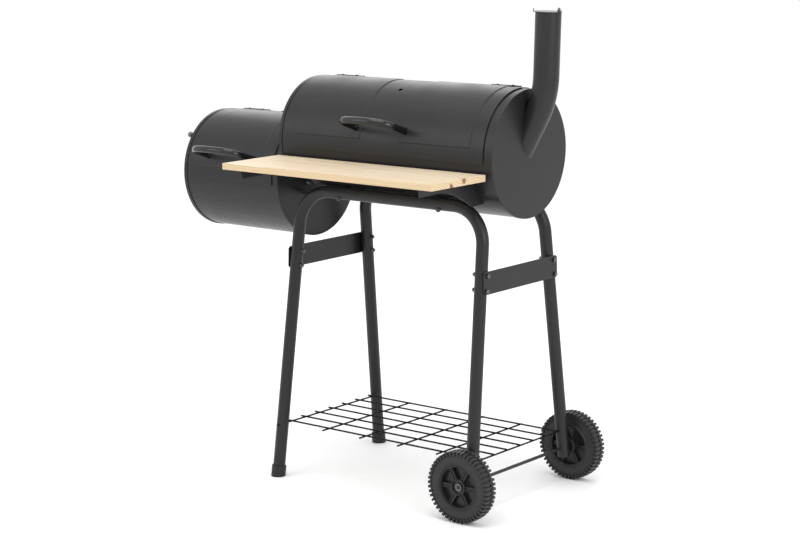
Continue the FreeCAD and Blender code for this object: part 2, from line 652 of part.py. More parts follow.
def arch_bar(side_y, radius):
    """A solid bar along an arch: seam, bend, top run, bend, seam."""
    seams = [leg_point(s, side_y, SEAM_Z) for s in (-1, 1)]
    corners = [leg_point(s, side_y, ARCH_Z) for s in (-1, 1)]
    edges = []
    start = seams[0]
    for n, side in ((0, -1), (1, 1)):
        arriving = (corners[n] - start).normalize()
        leaving = (corners[1] - corners[0]).normalize() if n == 0 else leg_down(1, side_y)
        turn = arriving.getAngle(leaving)
        tangent = ARCH_BEND * math.tan(turn / 2)
        bend_in = corners[n] - arriving * tangent
        bend_out = corners[n] + leaving * tangent
        to_middle = (leaving - arriving).normalize()
        mid = corners[n] + to_middle * (ARCH_BEND / math.cos(turn / 2) - ARCH_BEND)
        edges.append(Part.makeLine(start, bend_in))
        edges.append(Part.Arc(bend_in, mid, bend_out).toShape())
        start = bend_out
    edges.append(Part.makeLine(start, seams[1]))
    section = Part.Wire([Part.makeCircle(radius, seams[0], corners[0] - seams[0])])
    return Part.Wire(edges).makePipeShell([section], True, False)


def arch_bolt_seats(side_y):
    """The arch bolts' seats inside the barrel wall, and their direction out of it."""
    tube = V(0, side_y * ARCH_Y, ARCH_Z - MAIN_Z)
    along = V(tube).normalize()
    seat = along * (SHELL_R - SHEET)
    seats = [V(STANCE_X + s * ARCH_BOLT_X, seat.y, MAIN_Z + seat.z) for s in (-1, 1)]
    return seats, along


def brace_bolt_points(side_x):
    """The centres of a brace's four bolts, on the legs' centre lines."""
    return [leg_point(side_x, side_y, z) for side_y in (-1, 1) for z in BRACE_BOLT_ZS]


def drill_leg(bar, side_x, side_y):
    """The brace bolt holes through one leg."""
    points = [leg_point(side_x, side_y, z) for z in BRACE_BOLT_ZS]
    return drill(bar, points, X_AXIS, BOLT_HOLE_R, 60.0)


def arches(parts):
    """Two arch tubes, and the bolts, washers and nuts that hold the main chamber on them."""
    bolts, washers, nuts = [], [], []
    for name, side_y in (("arch_front", -1), ("arch_rear", 1)):
        tube = arch_bar(side_y, TUBE_R).cut(arch_bar(side_y, TUBE_R - TUBE_WALL))
        for side_x in (-1, 1):
            tube = drill_leg(tube, side_x, side_y)
        seats, along = arch_bolt_seats(side_y)
        reach = V(0, ARCH_Y, ARCH_Z - MAIN_Z).Length
        parts[name] = drill(tube, [p + along * (reach - SHELL_R) for p in seats], along,
                            BOLT_HOLE_R, 60.0)
        gap = reach - TUBE_R - SHELL_R
        for seat in seats:
            under_nut = seat + along * (reach + TUBE_R - SHELL_R + SHEET + 0.2)
            bolts.append(bolt(seat - along * 0.3, along, BOLT_R,
                              (under_nut - seat).Length + NUT_HEIGHT + 2, HEAD_R, 2.5))
            washers.append(ring(seat + along * (SHEET + 0.1), along, 8.0, BOLT_HOLE_R, gap - 0.2))
            nuts.append(nut(under_nut, along))
    parts["arch_bolts"] = Part.makeCompound(bolts)
    parts["arch_washers"] = Part.makeCompound(washers)
    return nuts


def lower_legs(parts):
    """Four lower leg tubes with plug ends that slide into the arches, and two foot caps."""
    axle_x = leg_point(1, 1, AXLE_Z).x
    for x_name, side_x in (("left", -1), ("right", 1)):
        low_z = FOOT_CAP_FLOOR + 3.0 if side_x < 0 else WHEEL_LEG_LOW_Z
        for y_name, side_y in (("front", -1), ("rear", 1)):
            bar = leg_bar(side_x, side_y, SEAM_Z, low_z, TUBE_R)
            plug = leg_bar(side_x, side_y, SEAM_Z + SPIGOT_LENGTH, SEAM_Z - 20,
                           TUBE_R - TUBE_WALL - SPIGOT_PLAY)
            bore = leg_bar(side_x, side_y, SEAM_Z + SPIGOT_LENGTH + 20, low_z - 20,
                           TUBE_R - 2 * TUBE_WALL)
            tube = drill_leg(join([bar, plug]).cut(bore), side_x, side_y)
            wire = V(leg_point(side_x, side_y, SHELF_Z))
            tube = drill(tube, [wire], Y_AXIS, WIRE_R + 0.3, 60.0)
            if side_x > 0:
                hole = V(axle_x, side_y * FOOT_Y, AXLE_Z)
                tube = drill(tube, [hole], Y_AXIS, AXLE_R + 0.1, 80.0)
            parts["leg_%s_%s" % (y_name, x_name)] = tube
    for y_name, side_y in (("front", -1), ("rear", 1)):
        cup = leg_bar(-1, side_y, FOOT_CAP_HEIGHT, -10, FOOT_CAP_R)
        hollow = leg_bar(-1, side_y, FOOT_CAP_HEIGHT + 20, FOOT_CAP_FLOOR + 3.0, TUBE_R + 0.1)
        below = box(-400, -200, -260, 260, -60, 0)
        parts["foot_cap_%s" % y_name] = cup.cut(hollow).cut(below)


def braces(parts):
    """Side braces across the legs, on their outer sides, with bolts and nuts."""
    bolts, nuts = [], []
    mid_z = (BRACE_LOW_Z + BRACE_TOP_Z) / 2
    for name, side_x in (("brace_left", -1), ("brace_right", 1)):
        tilt = math.degrees(math.atan2(STANCE_HALF - ARCH_HALF, ARCH_Z))
        face_x = leg_point(side_x, 1, mid_z).x + side_x * (TUBE_R + 0.15)
        x0, x1 = sorted((face_x, face_x + side_x * BRACE_SHEET))
        plate = box(x0, x1, -BRACE_HALF, BRACE_HALF, BRACE_LOW_Z, BRACE_TOP_Z)
        corners = [e for e in plate.Edges if e.BoundBox.XLength > 1 and e.BoundBox.YLength < 0.1
                   and e.BoundBox.ZLength < 0.1]
        plate = plate.makeChamfer(5.0, corners)
        plate.rotate(V(face_x, 0, mid_z), Y_AXIS, -side_x * tilt)
        points = brace_bolt_points(side_x)
        parts[name] = drill(plate, points, X_AXIS, BOLT_HOLE_R, 80.0)
        inward = X_AXIS * -side_x
        for p in points:
            seat = p - inward * (TUBE_R + BRACE_SHEET + 1.1)
            grip = 2 * TUBE_R + BRACE_SHEET + 1.5
            bolts.append(bolt(seat, inward, BOLT_R, grip + NUT_HEIGHT + 3, HEAD_R, HEAD_HEIGHT))
            nuts.append(nut(seat + inward * grip, inward))
    parts["brace_bolts"] = Part.makeCompound(bolts)
    return nuts


def wire_shelf(parts):
    """Welded wire shelf; its end cross wires pass through the legs."""
    left = leg_point(-1, 1, SHELF_Z).x
    right = leg_point(1, 1, SHELF_Z).x
    pieces = []
    for n in range(CROSS_WIRES):
        at_end = n in (0, CROSS_WIRES - 1)
        x = left + (right - left) * n / (CROSS_WIRES - 1) + (0.0 if at_end else INNER_CROSS_SHIFT)
        half = END_CROSS_HALF if at_end else CROSS_HALF
        pieces.append(rod(V(x, -half, SHELF_Z), Y_AXIS, WIRE_R, 2 * half))
    for n in range(LONG_WIRES):
        y = (n - (LONG_WIRES - 1) / 2) * LONG_PITCH
        start = V(left - LONG_OVERHANG, y, SHELF_Z + 2 * WIRE_R - WIRE_SINK)
        pieces.append(rod(start, X_AXIS, WIRE_R, right - left + LONG_OVERHANG + 2 * WIRE_R))
    parts["wire_shelf"] = join(pieces)


# ---------------------------------------------------------------- wheels
def tyre(out_y, side_y):
    """A treaded wheel body: a core ring with two staggered rows of lugs."""
    inward = Y_AXIS * -side_y
    x = leg_point(1, 1, AXLE_Z).x
    centre = V(x, out_y, AXLE_Z)
    row = TYRE_WIDTH / 2 - 1.5
    core = ring(centre + inward * 1.5, inward, TYRE_CORE_R, TYRE_BORE_R, TYRE_WIDTH - 3)
    bead = ring(centre, inward, TYRE_BORE_R + 10, TYRE_BORE_R, TYRE_WIDTH)
    lugs = []
    pitch = 2 * math.pi / LUGS
    chord = 2 * WHEEL_R * math.sin(pitch / 2) * LUG_SHARE
    for index, offset in enumerate((0.0, TYRE_WIDTH - row)):
        for n in range(LUGS):
            y0 = out_y - side_y * offset
            y_low, y_high = sorted((y0, y0 - side_y * row))
            lug = box(x - chord / 2, x + chord / 2, y_low, y_high, AXLE_Z + TYRE_CORE_R - 9,
                      AXLE_Z + WHEEL_R + 1)
            lug.rotate(centre, Y_AXIS, math.degrees(pitch * (n + index / 2)))
            lugs.append(lug)
    blocks = lugs[0].multiFuse(lugs[1:]).common(rod(centre, inward, WHEEL_R, TYRE_WIDTH))
    return core.multiFuse([bead, blocks]).removeSplitter()


def rim(out_y, side_y):
    """The wheel's spoked centre, with the hub that turns on the axle."""
    inward = Y_AXIS * -side_y
    x = leg_point(1, 1, AXLE_Z).x
    centre = V(x, out_y, AXLE_Z)
    face = WHEEL_FACE_INSET
    pieces = [ring(centre + inward * face, inward, RIM_R, RIM_IN_R, TYRE_WIDTH - 2 * face),
              rod(centre + inward * (face + 1), inward, HUB_R, TYRE_WIDTH - face - 1),
              ring(centre + inward * WEB_AT, inward, RIM_IN_R + 1, HUB_R - 5, WEB_THICK)]
    for n in range(SPOKES):
        y_low, y_high = sorted((out_y - side_y * SPOKE_AT, out_y - side_y * (TYRE_WIDTH - SPOKE_AT)))
        spoke = box(x - SPOKE_HALF, x + SPOKE_HALF, y_low, y_high, AXLE_Z + HUB_R - 5,
                    AXLE_Z + RIM_IN_R + 1)
        spoke.rotate(centre, Y_AXIS, 360.0 / SPOKES * (n + 0.5))
        pieces.append(spoke)
    solid = join(pieces).cut(rod(centre, inward, HUB_WELL_R, HUB_WELL))
    return drill(solid, [centre], Y_AXIS, AXLE_R + AXLE_FIT, 120.0)


def wheels(parts):
    """Axle, two wheels and the push-on axle caps."""
    x = leg_point(1, 1, AXLE_Z).x
    reach = WHEEL_OUT_Y - AXLE_END
    parts["axle"] = rod(V(x, -reach, AXLE_Z), Y_AXIS, AXLE_R, 2 * reach)
    caps = []
    for name, side_y in (("front", -1), ("rear", 1)):
        parts["wheel_tyre_%s" % name] = tyre(side_y * WHEEL_OUT_Y, side_y)
        parts["wheel_rim_%s" % name] = rim(side_y * WHEEL_OUT_Y, side_y)
        start = V(x, side_y * (WHEEL_OUT_Y - HUB_WELL + 0.4), AXLE_Z)
        caps.append(ring(start, Y_AXIS * side_y, AXLE_CAP_R, AXLE_R + 0.05, AXLE_CAP))
    parts["axle_caps"] = Part.makeCompound(caps)


# ---------------------------------------------------------------- front table
def bracket_bolt_degs():
    """Angles of a bracket's two bolts on the barrel."""
    return (FLANGE_TOP_DEG + BRACKET_BOLT_IN_DEG, FLANGE_LOW_DEG - BRACKET_BOLT_IN_DEG)


def flange_span(name):
    """The X range of a bracket's flanges, which turn towards the table's middle."""
    web_x = BRACKET_XS[name]
    return (web_x, web_x + BRACKET_FLANGE) if web_x < 0 else (web_x - BRACKET_FLANGE, web_x)


def flange_mid_x(name):
    """The middle of a bracket's flange beyond its web."""
    x0, x1 = flange_span(name)
    inward = 1.0 if BRACKET_XS[name] < 0 else -1.0
    return (x0 + x1) / 2 + inward * BRACKET_SHEET / 2


def bracket(name):
    """Bent sheet bracket: web across X, top flange under the board, rear flange on the barrel."""
    x0, x1 = flange_span(name)
    web_x = x0 if BRACKET_XS[name] < 0 else x1 - BRACKET_SHEET
    top_z = BOARD_TOP - BOARD_THICK - 0.1
    flange_r = SHELL_R + 0.2
    top_deg = math.degrees(math.acos((top_z - MAIN_Z) / flange_r))
    upper = on_barrel(web_x, top_deg, flange_r, MAIN_Z)
    lower = on_barrel(web_x, FLANGE_LOW_DEG, flange_r, MAIN_Z)
    along_barrel = on_barrel(web_x, (top_deg + FLANGE_LOW_DEG) / 2, flange_r, MAIN_Z)
    tip_top = V(web_x, BRACKET_TIP_Y, top_z)
    tip_low = V(web_x, BRACKET_TIP_Y + BRACKET_TIP_SLANT, BRACKET_LOW_Z)
    run_end = V(web_x, BRACKET_TIP_Y + BRACKET_RUN, BRACKET_LOW_Z + 2)
    bend = V(web_x, BRACKET_TIP_Y + BRACKET_BEND_Y, BRACKET_LOW_Z - BRACKET_BEND_DROP)
    heel = V(web_x, BRACKET_TIP_Y + BRACKET_HEEL_Y, lower.z - 2)
    edges = [Part.makeLine(tip_top, upper),
             Part.Arc(upper, along_barrel, lower).toShape(), Part.makeLine(lower, heel),
             Part.Arc(heel, bend, run_end).toShape(),
             Part.makeLine(run_end, tip_low), Part.makeLine(tip_low, tip_top)]
    web = Part.Face(Part.Wire(edges)).extrude(X_AXIS * BRACKET_SHEET)
    under_board = box(x0, x1, BRACKET_TIP_Y + 2, BOARD_FRONT + BOARD_DEPTH - 4,
                      top_z - BRACKET_SHEET, top_z)
    rear = sector(flange_r + BRACKET_SHEET, flange_r, x0, x1, MAIN_Z, FLANGE_TOP_DEG, FLANGE_LOW_DEG)
    solid = join([web, under_board, rear])
    for deg in bracket_bolt_degs():
        point = on_barrel(flange_mid_x(name), deg, flange_r, MAIN_Z)
        solid = drill(solid, [point], outward(deg), BOLT_HOLE_R, 12.0)
    return drill(solid, board_screw_points(name, top_z), Z_AXIS, 2.1, 12.0)


def board_screw_points(name, z):
    """Two screws through a bracket's top flange."""
    return [V(flange_mid_x(name), y, z) for y in (BRACKET_TIP_Y + 40, BOARD_FRONT + BOARD_DEPTH - 34)]


def front_table(parts):
    """Wooden board, two brackets, the screws into the board and the bolts through the barrel."""
    board = box(BOARD_LEFT, BOARD_LEFT + BOARD_LENGTH, BOARD_FRONT, BOARD_FRONT + BOARD_DEPTH,
                BOARD_TOP - BOARD_THICK, BOARD_TOP)
    board = board.makeFillet(1.0, board.Edges)
    seat_z = BOARD_TOP - BOARD_THICK - 0.1 - BRACKET_SHEET
    screws, bolts, nuts = [], [], []
    for name in BRACKET_XS:
        parts["bracket_" + name] = bracket(name)
        for point in board_screw_points(name, seat_z - 0.1):
            screws.append(bolt(point, Z_AXIS, 2.0, 12.0, 4.0, 2.0))
            board = board.cut(rod(point, Z_AXIS, 2.1, 12.3))
        for deg in bracket_bolt_degs():
            seat = on_barrel(flange_mid_x(name), deg, SHELL_R + BRACKET_SHEET + 0.3, MAIN_Z)
            bolts.append(bolt(seat, outward(deg) * -1.0, BOLT_R, 12.0, HEAD_R, HEAD_HEIGHT))
            inside = on_barrel(flange_mid_x(name), deg, SHELL_R - SHEET - 0.4, MAIN_Z)
            nuts.append(nut(inside, outward(deg) * -1.0))
    parts["serving_board"] = board
    parts["board_screws"] = Part.makeCompound(screws)
    parts["bracket_bolts"] = Part.makeCompound(bolts)
    return nuts


# ---------------------------------------------------------------- grates
def half_width(level):
    """Half the width inside a barrel at a height from its axis."""
    return math.sqrt((SHELL_R - SHEET) ** 2 - level ** 2)


def rod_grate(x0, x1, half, z, pitch):
    """A flat grate: a frame of rods with parallel rods across it."""
    pieces = [rod(V(x0, s * half, z), X_AXIS, ROD_R, x1 - x0) for s in (-1, 1)]
    span = x1 - x0 - 2 * ROD_R
    count = int(round(span / pitch))
    for n in range(count + 1):
        x = x0 + ROD_R + span * n / count
        pieces.append(rod(V(x, -half, z), Y_AXIS, CROSS_ROD_R, 2 * half))
    for n in (-1, 1):
        start = V(x0, n * half / 2, z - ROD_R - CROSS_ROD_R + WIRE_SINK)
        pieces.append(rod(start, X_AXIS, ROD_R, x1 - x0))
    return join(pieces)


def rests(x0, x1, axis_z, level):
    """Two rest strips against a barrel's inner wall, whose tops are at a level from its axis."""
    inner = rod(V(x0, 0, axis_z), X_AXIS, SHELL_R - SHEET - 0.1, x1 - x0)
    reach = half_width(level)
    return [box(x0, x1, *sorted((s * (reach - REST_WIDTH), s * (reach + REST_BITE))),
                axis_z + level - REST_THICK, axis_z + level).common(inner) for s in (-1, 1)]


def grates(parts):
    """Cooking grates and charcoal grate in the main chamber, charcoal grate in the firebox."""
    below = 3 * ROD_R
    ledges = []
    main_x0, main_x1 = -MAIN_LENGTH / 2 + GRATE_MAIN_END, MAIN_LENGTH / 2 - GRATE_MAIN_END
    fire_x0, fire_x1 = FIRE_LEFT_X + GRATE_FIRE_END, FIRE_RIGHT_X - GRATE_FIRE_END
    cook_half = half_width(COOK_Z - MAIN_Z - below) - GRATE_PLAY - ROD_R
    parts["cooking_grate_left"] = rod_grate(main_x0, -GRATE_HALF_GAP, cook_half, COOK_Z, COOK_PITCH)
    parts["cooking_grate_right"] = rod_grate(GRATE_HALF_GAP, main_x1, cook_half, COOK_Z, COOK_PITCH)
    coal_half = half_width(COAL_Z - MAIN_Z - below) - GRATE_PLAY - ROD_R
    parts["charcoal_grate"] = rod_grate(main_x0, main_x1, coal_half, COAL_Z, COAL_PITCH)
    fire_half = half_width(FIRE_GRATE_Z - FIRE_Z - below) - GRATE_PLAY - ROD_R
    parts["firebox_grate"] = rod_grate(fire_x0, fire_x1, fire_half, FIRE_GRATE_Z, COAL_PITCH)
    for axis_z, z, x0, x1 in ((MAIN_Z, COOK_Z, main_x0, main_x1), (MAIN_Z, COAL_Z, main_x0, main_x1),
                              (FIRE_Z, FIRE_GRATE_Z, fire_x0, fire_x1)):
        ledges += rests(x0, x1, axis_z, z - axis_z - ROD_R - 0.1)
    parts["grate_rests"] = Part.makeCompound(ledges)


def main():
    """Make every piece, move the origin under the outline's middle, and write the files."""
    parts = {}
    main_chamber(parts)
    firebox(parts)
    hinges(parts)
    smoke_collar(parts)
    air_damper(parts)
    chimney(parts)
    frame_nuts = arches(parts)
    lower_legs(parts)
    frame_nuts += braces(parts)
    wire_shelf(parts)
    wheels(parts)
    frame_nuts += front_table(parts)
    parts["frame_nuts"] = Part.makeCompound(frame_nuts)
    grates(parts)
    outline = FreeCAD.BoundBox()
    for shape in parts.values():
        outline.add(shape.optimalBoundingBox(False))
    shift = V(-outline.Center.x, -outline.Center.y, 0)
    print("moved by %.4f %.4f, floor at %.4f" % (shift.x, shift.y, outline.ZMin))
    os.makedirs("parts", exist_ok=True)
    for name, shape in parts.items():
        shape.translate(shift)
        shape.exportStep("parts/%s.step" % name)
        valid = "" if shape.isValid() else "INVALID"
        print("%-28s %2d solids %10.0f mm3 %s" % (name, len(shape.Solids), shape.Volume, valid))


main()
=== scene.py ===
"""Offset smoker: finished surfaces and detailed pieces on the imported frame, in metres."""

import json
import logging
import math
from dataclasses import dataclass, field
from enum import Enum
from typing import Callable, Iterable, Sequence

import bmesh
import bpy
from mathutils import Matrix, Vector

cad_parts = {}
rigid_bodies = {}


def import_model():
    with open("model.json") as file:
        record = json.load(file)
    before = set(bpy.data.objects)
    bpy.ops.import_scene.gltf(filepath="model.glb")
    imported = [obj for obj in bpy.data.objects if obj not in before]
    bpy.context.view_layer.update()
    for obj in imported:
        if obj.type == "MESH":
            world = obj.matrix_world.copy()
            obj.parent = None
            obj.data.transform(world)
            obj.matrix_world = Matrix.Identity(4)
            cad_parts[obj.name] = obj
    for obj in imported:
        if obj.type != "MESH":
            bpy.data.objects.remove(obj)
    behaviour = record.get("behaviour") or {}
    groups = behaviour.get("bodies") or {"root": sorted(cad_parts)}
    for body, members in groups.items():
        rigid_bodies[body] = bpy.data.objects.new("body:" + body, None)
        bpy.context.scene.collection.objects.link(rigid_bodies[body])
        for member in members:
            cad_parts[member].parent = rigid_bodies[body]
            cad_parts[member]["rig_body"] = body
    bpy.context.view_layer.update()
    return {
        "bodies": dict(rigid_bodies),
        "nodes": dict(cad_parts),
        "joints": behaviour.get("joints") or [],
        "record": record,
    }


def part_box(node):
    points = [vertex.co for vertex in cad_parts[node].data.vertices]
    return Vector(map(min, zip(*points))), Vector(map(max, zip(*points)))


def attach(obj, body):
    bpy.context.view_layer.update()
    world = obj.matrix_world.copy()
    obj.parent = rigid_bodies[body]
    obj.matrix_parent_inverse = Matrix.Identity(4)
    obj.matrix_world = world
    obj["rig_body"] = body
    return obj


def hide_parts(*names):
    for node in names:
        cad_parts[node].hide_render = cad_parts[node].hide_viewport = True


LOG = logging.getLogger("smoker")
ROOT = "stand_and_barrels"
Triple = tuple[float, float, float]
OPAQUE = (1.0,)
EASE_STEPS = 2
ALONG_X = Vector((1, 0, 0))
ALONG_Y = Vector((0, 1, 0))
LINE_MERGE = 0.00002
SHEET_MERGE = 0.00001
PACKED_MERGE = 0.000004
NUDGE = 0.0001
MM = 1000


class Way(Enum):
    """The direction that a mirrored piece faces along Y."""

    FRONT = -1.0
    REAR = 1.0


class Sort(Enum):
    """What kind of mesh element a selection takes."""

    VERT = "VERT"
    EDGE = "EDGE"
    FACE = "FACE"


# ------------------------------------------------------------------ modelling by operators
def deselect() -> None:
    """Leave edit mode and deselect every object."""
    if bpy.context.object is not None and bpy.context.object.mode != "OBJECT":
        bpy.ops.object.mode_set(mode="OBJECT")
    bpy.ops.object.select_all(action="DESELECT")


def choose(obj: bpy.types.Object) -> None:
    """Make one object the only selected and active one."""
    deselect()
    obj.select_set(True)
    bpy.context.view_layer.objects.active = obj


def open_mesh(obj: bpy.types.Object, sort: Sort = Sort.FACE) -> None:
    """Enter edit mode on an object with nothing selected."""
    choose(obj)
    bpy.ops.object.mode_set(mode="EDIT")
    bpy.ops.mesh.select_mode(type=sort.value)
    bpy.ops.mesh.select_all(action="DESELECT")


def close_mesh() -> None:
    """Return to object mode."""
    bpy.ops.object.mode_set(mode="OBJECT")


def pick(obj: bpy.types.Object, sort: Sort, wanted: Callable[[object], bool]) -> int:
    """Select the elements of the edited mesh that a test accepts.

    Args:
        obj: the object in edit mode.
        sort: vertices, edges or faces.
        wanted: the test for one element.

    Returns:
        How many elements are selected.
    """
    bpy.ops.mesh.select_mode(type=sort.value)
    bpy.ops.mesh.select_all(action="DESELECT")
    mesh = bmesh.from_edit_mesh(obj.data)
    rows = {Sort.VERT: mesh.verts, Sort.EDGE: mesh.edges, Sort.FACE: mesh.faces}[sort]
    found = [item for item in rows if wanted(item)]
    for item in found:
        item.select_set(True)
    bmesh.update_edit_mesh(obj.data)
    return len(found)


def settle(obj: bpy.types.Object) -> None:
    """Put an object's place into its mesh."""
    choose(obj)
    bpy.ops.object.transform_apply(location=True, rotation=True, scale=True)


def draw_line(name: str, points: Sequence[Vector]) -> bpy.types.Object:
    """Draw a polyline by extruding one vertex from point to point.

    Args:
        name: the new object's name.
        points: the corners in order.

    Returns:
        The object, whose mesh is the line, fully selected.
    """
    deselect()
    bpy.ops.mesh.primitive_plane_add(size=0.01, location=points[0])
    obj = bpy.context.object
    obj.name = name
    settle(obj)
    open_mesh(obj, Sort.VERT)
    bpy.ops.mesh.select_all(action="SELECT")
    bpy.ops.mesh.merge(type="CENTER")
    for start, end in zip(points, points[1:]):
        bpy.ops.mesh.extrude_region_move(TRANSFORM_OT_translate={"value": end - start})
    bpy.ops.mesh.select_all(action="SELECT")
    return obj


def spin(steps: int, degrees: float, centre: Vector, axis: Vector, copies: bool = False) -> None:
    """Spin the selection by the right-hand rule, as new surface or as copies.

    Args:
        steps: how many steps the turn takes.
        degrees: the whole turn.
        centre: a point on the axis.
        axis: the axis direction.
        copies: whether the selection is repeated in place of swept.
    """
    bpy.ops.mesh.spin(steps=steps, angle=-math.radians(degrees), center=centre, axis=axis,
                      dupli=copies)


def turned(name: str, outline: Sequence[Vector], centre: Vector, axis: Vector,
           steps: int) -> bpy.types.Object:
    """Turn a closed outline into a ring-shaped solid, as on a lathe.

    Args:
        name: the new object's name.
        outline: the section's corners, the last one equal to the first.
        centre: a point on the axis.
        axis: the axis direction.
        steps: sides of the round.

    Returns:
        The closed piece, in object mode.
    """
    obj = draw_line(name, outline)
    spin(steps, 360.0, centre, axis)
    bpy.ops.mesh.select_all(action="SELECT")
    bpy.ops.mesh.remove_doubles(threshold=LINE_MERGE)
    bpy.ops.mesh.normals_make_consistent(inside=False)
    close_mesh()
    return obj


def apply_modifier(obj: bpy.types.Object, kind: str, **settings: object) -> None:
    """Add a modifier with its settings and apply it."""
    choose(obj)
    modifier = obj.modifiers.new(kind.title(), kind)
    for key, value in settings.items():
        setattr(modifier, key, value)
    bpy.ops.object.modifier_apply(modifier=modifier.name)


def round_edges(obj: bpy.types.Object, width: float, angle: float) -> None:
    """Bevel the edges that turn by more than an angle in degrees."""
    apply_modifier(obj, "BEVEL", width=width, segments=EASE_STEPS, limit_method="ANGLE",
                   angle_limit=math.radians(angle), use_clamp_overlap=True)


def block(name: str, low: Vector, high: Vector, bevel: float,
          segments: int) -> bpy.types.Object:
    """A rounded block between two corners.

    Args:
        name: the new object's name.
        low: the lowest corner.
        high: the highest corner.
        bevel: the edge rounding.
        segments: steps of the rounding.

    Returns:
        The piece, in object mode.
    """
    deselect()
    bpy.ops.mesh.primitive_cube_add(size=1.0, location=(low + high) / 2)
    obj = bpy.context.object
    obj.name = name
    obj.scale = high - low
    settle(obj)
    open_mesh(obj, Sort.EDGE)
    bpy.ops.mesh.select_all(action="SELECT")
    bpy.ops.mesh.bevel(offset=bevel, segments=segments, affect="EDGES")
    close_mesh()
    return obj


def join_pieces(pieces: Sequence[bpy.types.Object]) -> bpy.types.Object:
    """Join several objects into the first one."""
    deselect()
    for piece in pieces:
        piece.select_set(True)
    bpy.context.view_layer.objects.active = pieces[0]
    bpy.ops.object.join()
    return pieces[0]


def finish_piece(obj: bpy.types.Object, body: str, material: bpy.types.Material,
                 stands_for: Iterable[str], smooth: float) -> bpy.types.Object:
    """Dress a finished piece and let it ride on its body.

    Args:
        obj: the piece, in object mode.
        body: the CAD body that carries it.
        material: the surface finish.
        stands_for: the CAD nodes that it replaces.
        smooth: the angle in degrees below which edges shade smooth.

    Returns:
        The same object.
    """
    settle(obj)
    bpy.ops.object.shade_smooth_by_angle(angle=math.radians(smooth))
    apply_modifier(obj, "WEIGHTED_NORMAL", keep_sharp=True)
    obj.data.materials.clear()
    obj.data.materials.append(material)
    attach(obj, body)
    names = tuple(stands_for)
    if names:
        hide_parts(*names)
    LOG.info("%-30s on %-18s %6d faces", obj.name, body, len(obj.data.polygons))
    return obj


# ------------------------------------------------------------------ finishes
class Sheet:
    """A material's node tree with a principled shader, and short calls to add to it."""

    def __init__(self, name: str) -> None:
        """Start a material with a shader and object coordinates."""
        self.material = bpy.data.materials.new(name)
        self.material.use_nodes = True
        self.tree = self.material.node_tree
        self.tree.nodes.clear()
        self.shader = self.add("ShaderNodeBsdfPrincipled")
        output = self.add("ShaderNodeOutputMaterial")
        self.tree.links.new(self.shader.outputs["BSDF"], output.inputs["Surface"])
        self.place = self.add("ShaderNodeTexCoord").outputs["Object"]

    def add(self, kind: str, options: dict[str, object] | None = None,
            **inputs: object) -> bpy.types.Node:
        """Add a node with its options and input values.

        Args:
            kind: the node's type.
            options: properties of the node itself.
            inputs: values or output sockets by input name, with _ for a space.

        Returns:
            The new node.
        """
        node = self.tree.nodes.new(kind)
        for key, value in (options or {}).items():
            setattr(node, key, value)
        for key, value in inputs.items():
            self.put(node, key.replace("_", " "), value)
        return node

    def put(self, node: bpy.types.Node, name: str | int, value: object) -> None:
        """Set an input to a value or join it to an output socket."""
        if isinstance(value, bpy.types.NodeSocket):
            self.tree.links.new(value, node.inputs[name])
        else:
            node.inputs[name].default_value = value

    def noise(self, scale: float, detail: float, stretch: Triple = (1, 1, 1),
              shift: Triple = (0, 0, 0)) -> bpy.types.NodeSocket:
        """A noise pattern on object coordinates, as a value from 0 to 1."""
        mapping = self.add("ShaderNodeMapping", Vector=self.place, Scale=stretch, Location=shift)
        noise = self.add("ShaderNodeTexNoise", Vector=mapping.outputs["Vector"], Scale=scale,
                         Detail=detail)
        return noise.outputs["Fac"]

    def spread(self, value: bpy.types.NodeSocket, low: float, high: float, start: float = 0.0,
               end: float = 1.0) -> bpy.types.NodeSocket:
        """Map a value's range from start..end to low..high, kept within it."""
        node = self.add("ShaderNodeMapRange", Value=value, From_Min=start, From_Max=end,
                        To_Min=low, To_Max=high)
        return node.outputs["Result"]

    def mix(self, factor: bpy.types.NodeSocket | float, first: object,
            second: object) -> bpy.types.NodeSocket:
        """Mix two colours."""
        node = self.add("ShaderNodeMix", {"data_type": "RGBA"})
        self.put(node, 0, factor)
        self.put(node, 6, first)
        self.put(node, 7, second)
        return node.outputs[2]

    def maths(self, operation: str, first: object, second: object = 0.0) -> bpy.types.NodeSocket:
        """Combine two values."""
        node = self.add("ShaderNodeMath", {"operation": operation})
        self.put(node, 0, first)
        self.put(node, 1, second)
        return node.outputs["Value"]

    def bump(self, height: bpy.types.NodeSocket, strength: float, distance: float) -> None:
        """Roughen the surface by a height pattern."""
        node = self.add("ShaderNodeBump", Height=height, Strength=strength, Distance=distance)
        self.put(self.shader, "Normal", node.outputs["Normal"])


@dataclass(frozen=True)
class SprayedPaint:
    """Satin heat paint, sprayed on sheet steel, with a fine orange-peel skin."""

    name: str
    colour: Triple = (0.016, 0.016, 0.017)
    roughness: float = 0.33
    cloud: float = 0.12
    peel: float = 0.10
    gloss: float = 0.30

    def make(self) -> bpy.types.Material:
        """Build the material.

        Returns:
            The procedural material.
        """
        sheet = Sheet(self.name)
        pale = tuple(c * (1 + self.cloud) for c in self.colour) + OPAQUE
        deep = tuple(c * (1 - self.cloud) for c in self.colour) + OPAQUE
        sheet.put(sheet.shader, "Base Color", sheet.mix(sheet.noise(9.0, 5.0), deep, pale))
        patches = sheet.noise(14.0, 6.0, shift=(3.0, 1.0, 2.0))
        sheet.put(sheet.shader, "Roughness",
                  sheet.spread(patches, self.roughness - 0.05, self.roughness + 0.06, 0.3, 0.7))
        sheet.put(sheet.shader, "Specular IOR Level", self.gloss)
        sheet.bump(sheet.noise(520.0, 3.0), self.peel, 0.0004)
        return sheet.material


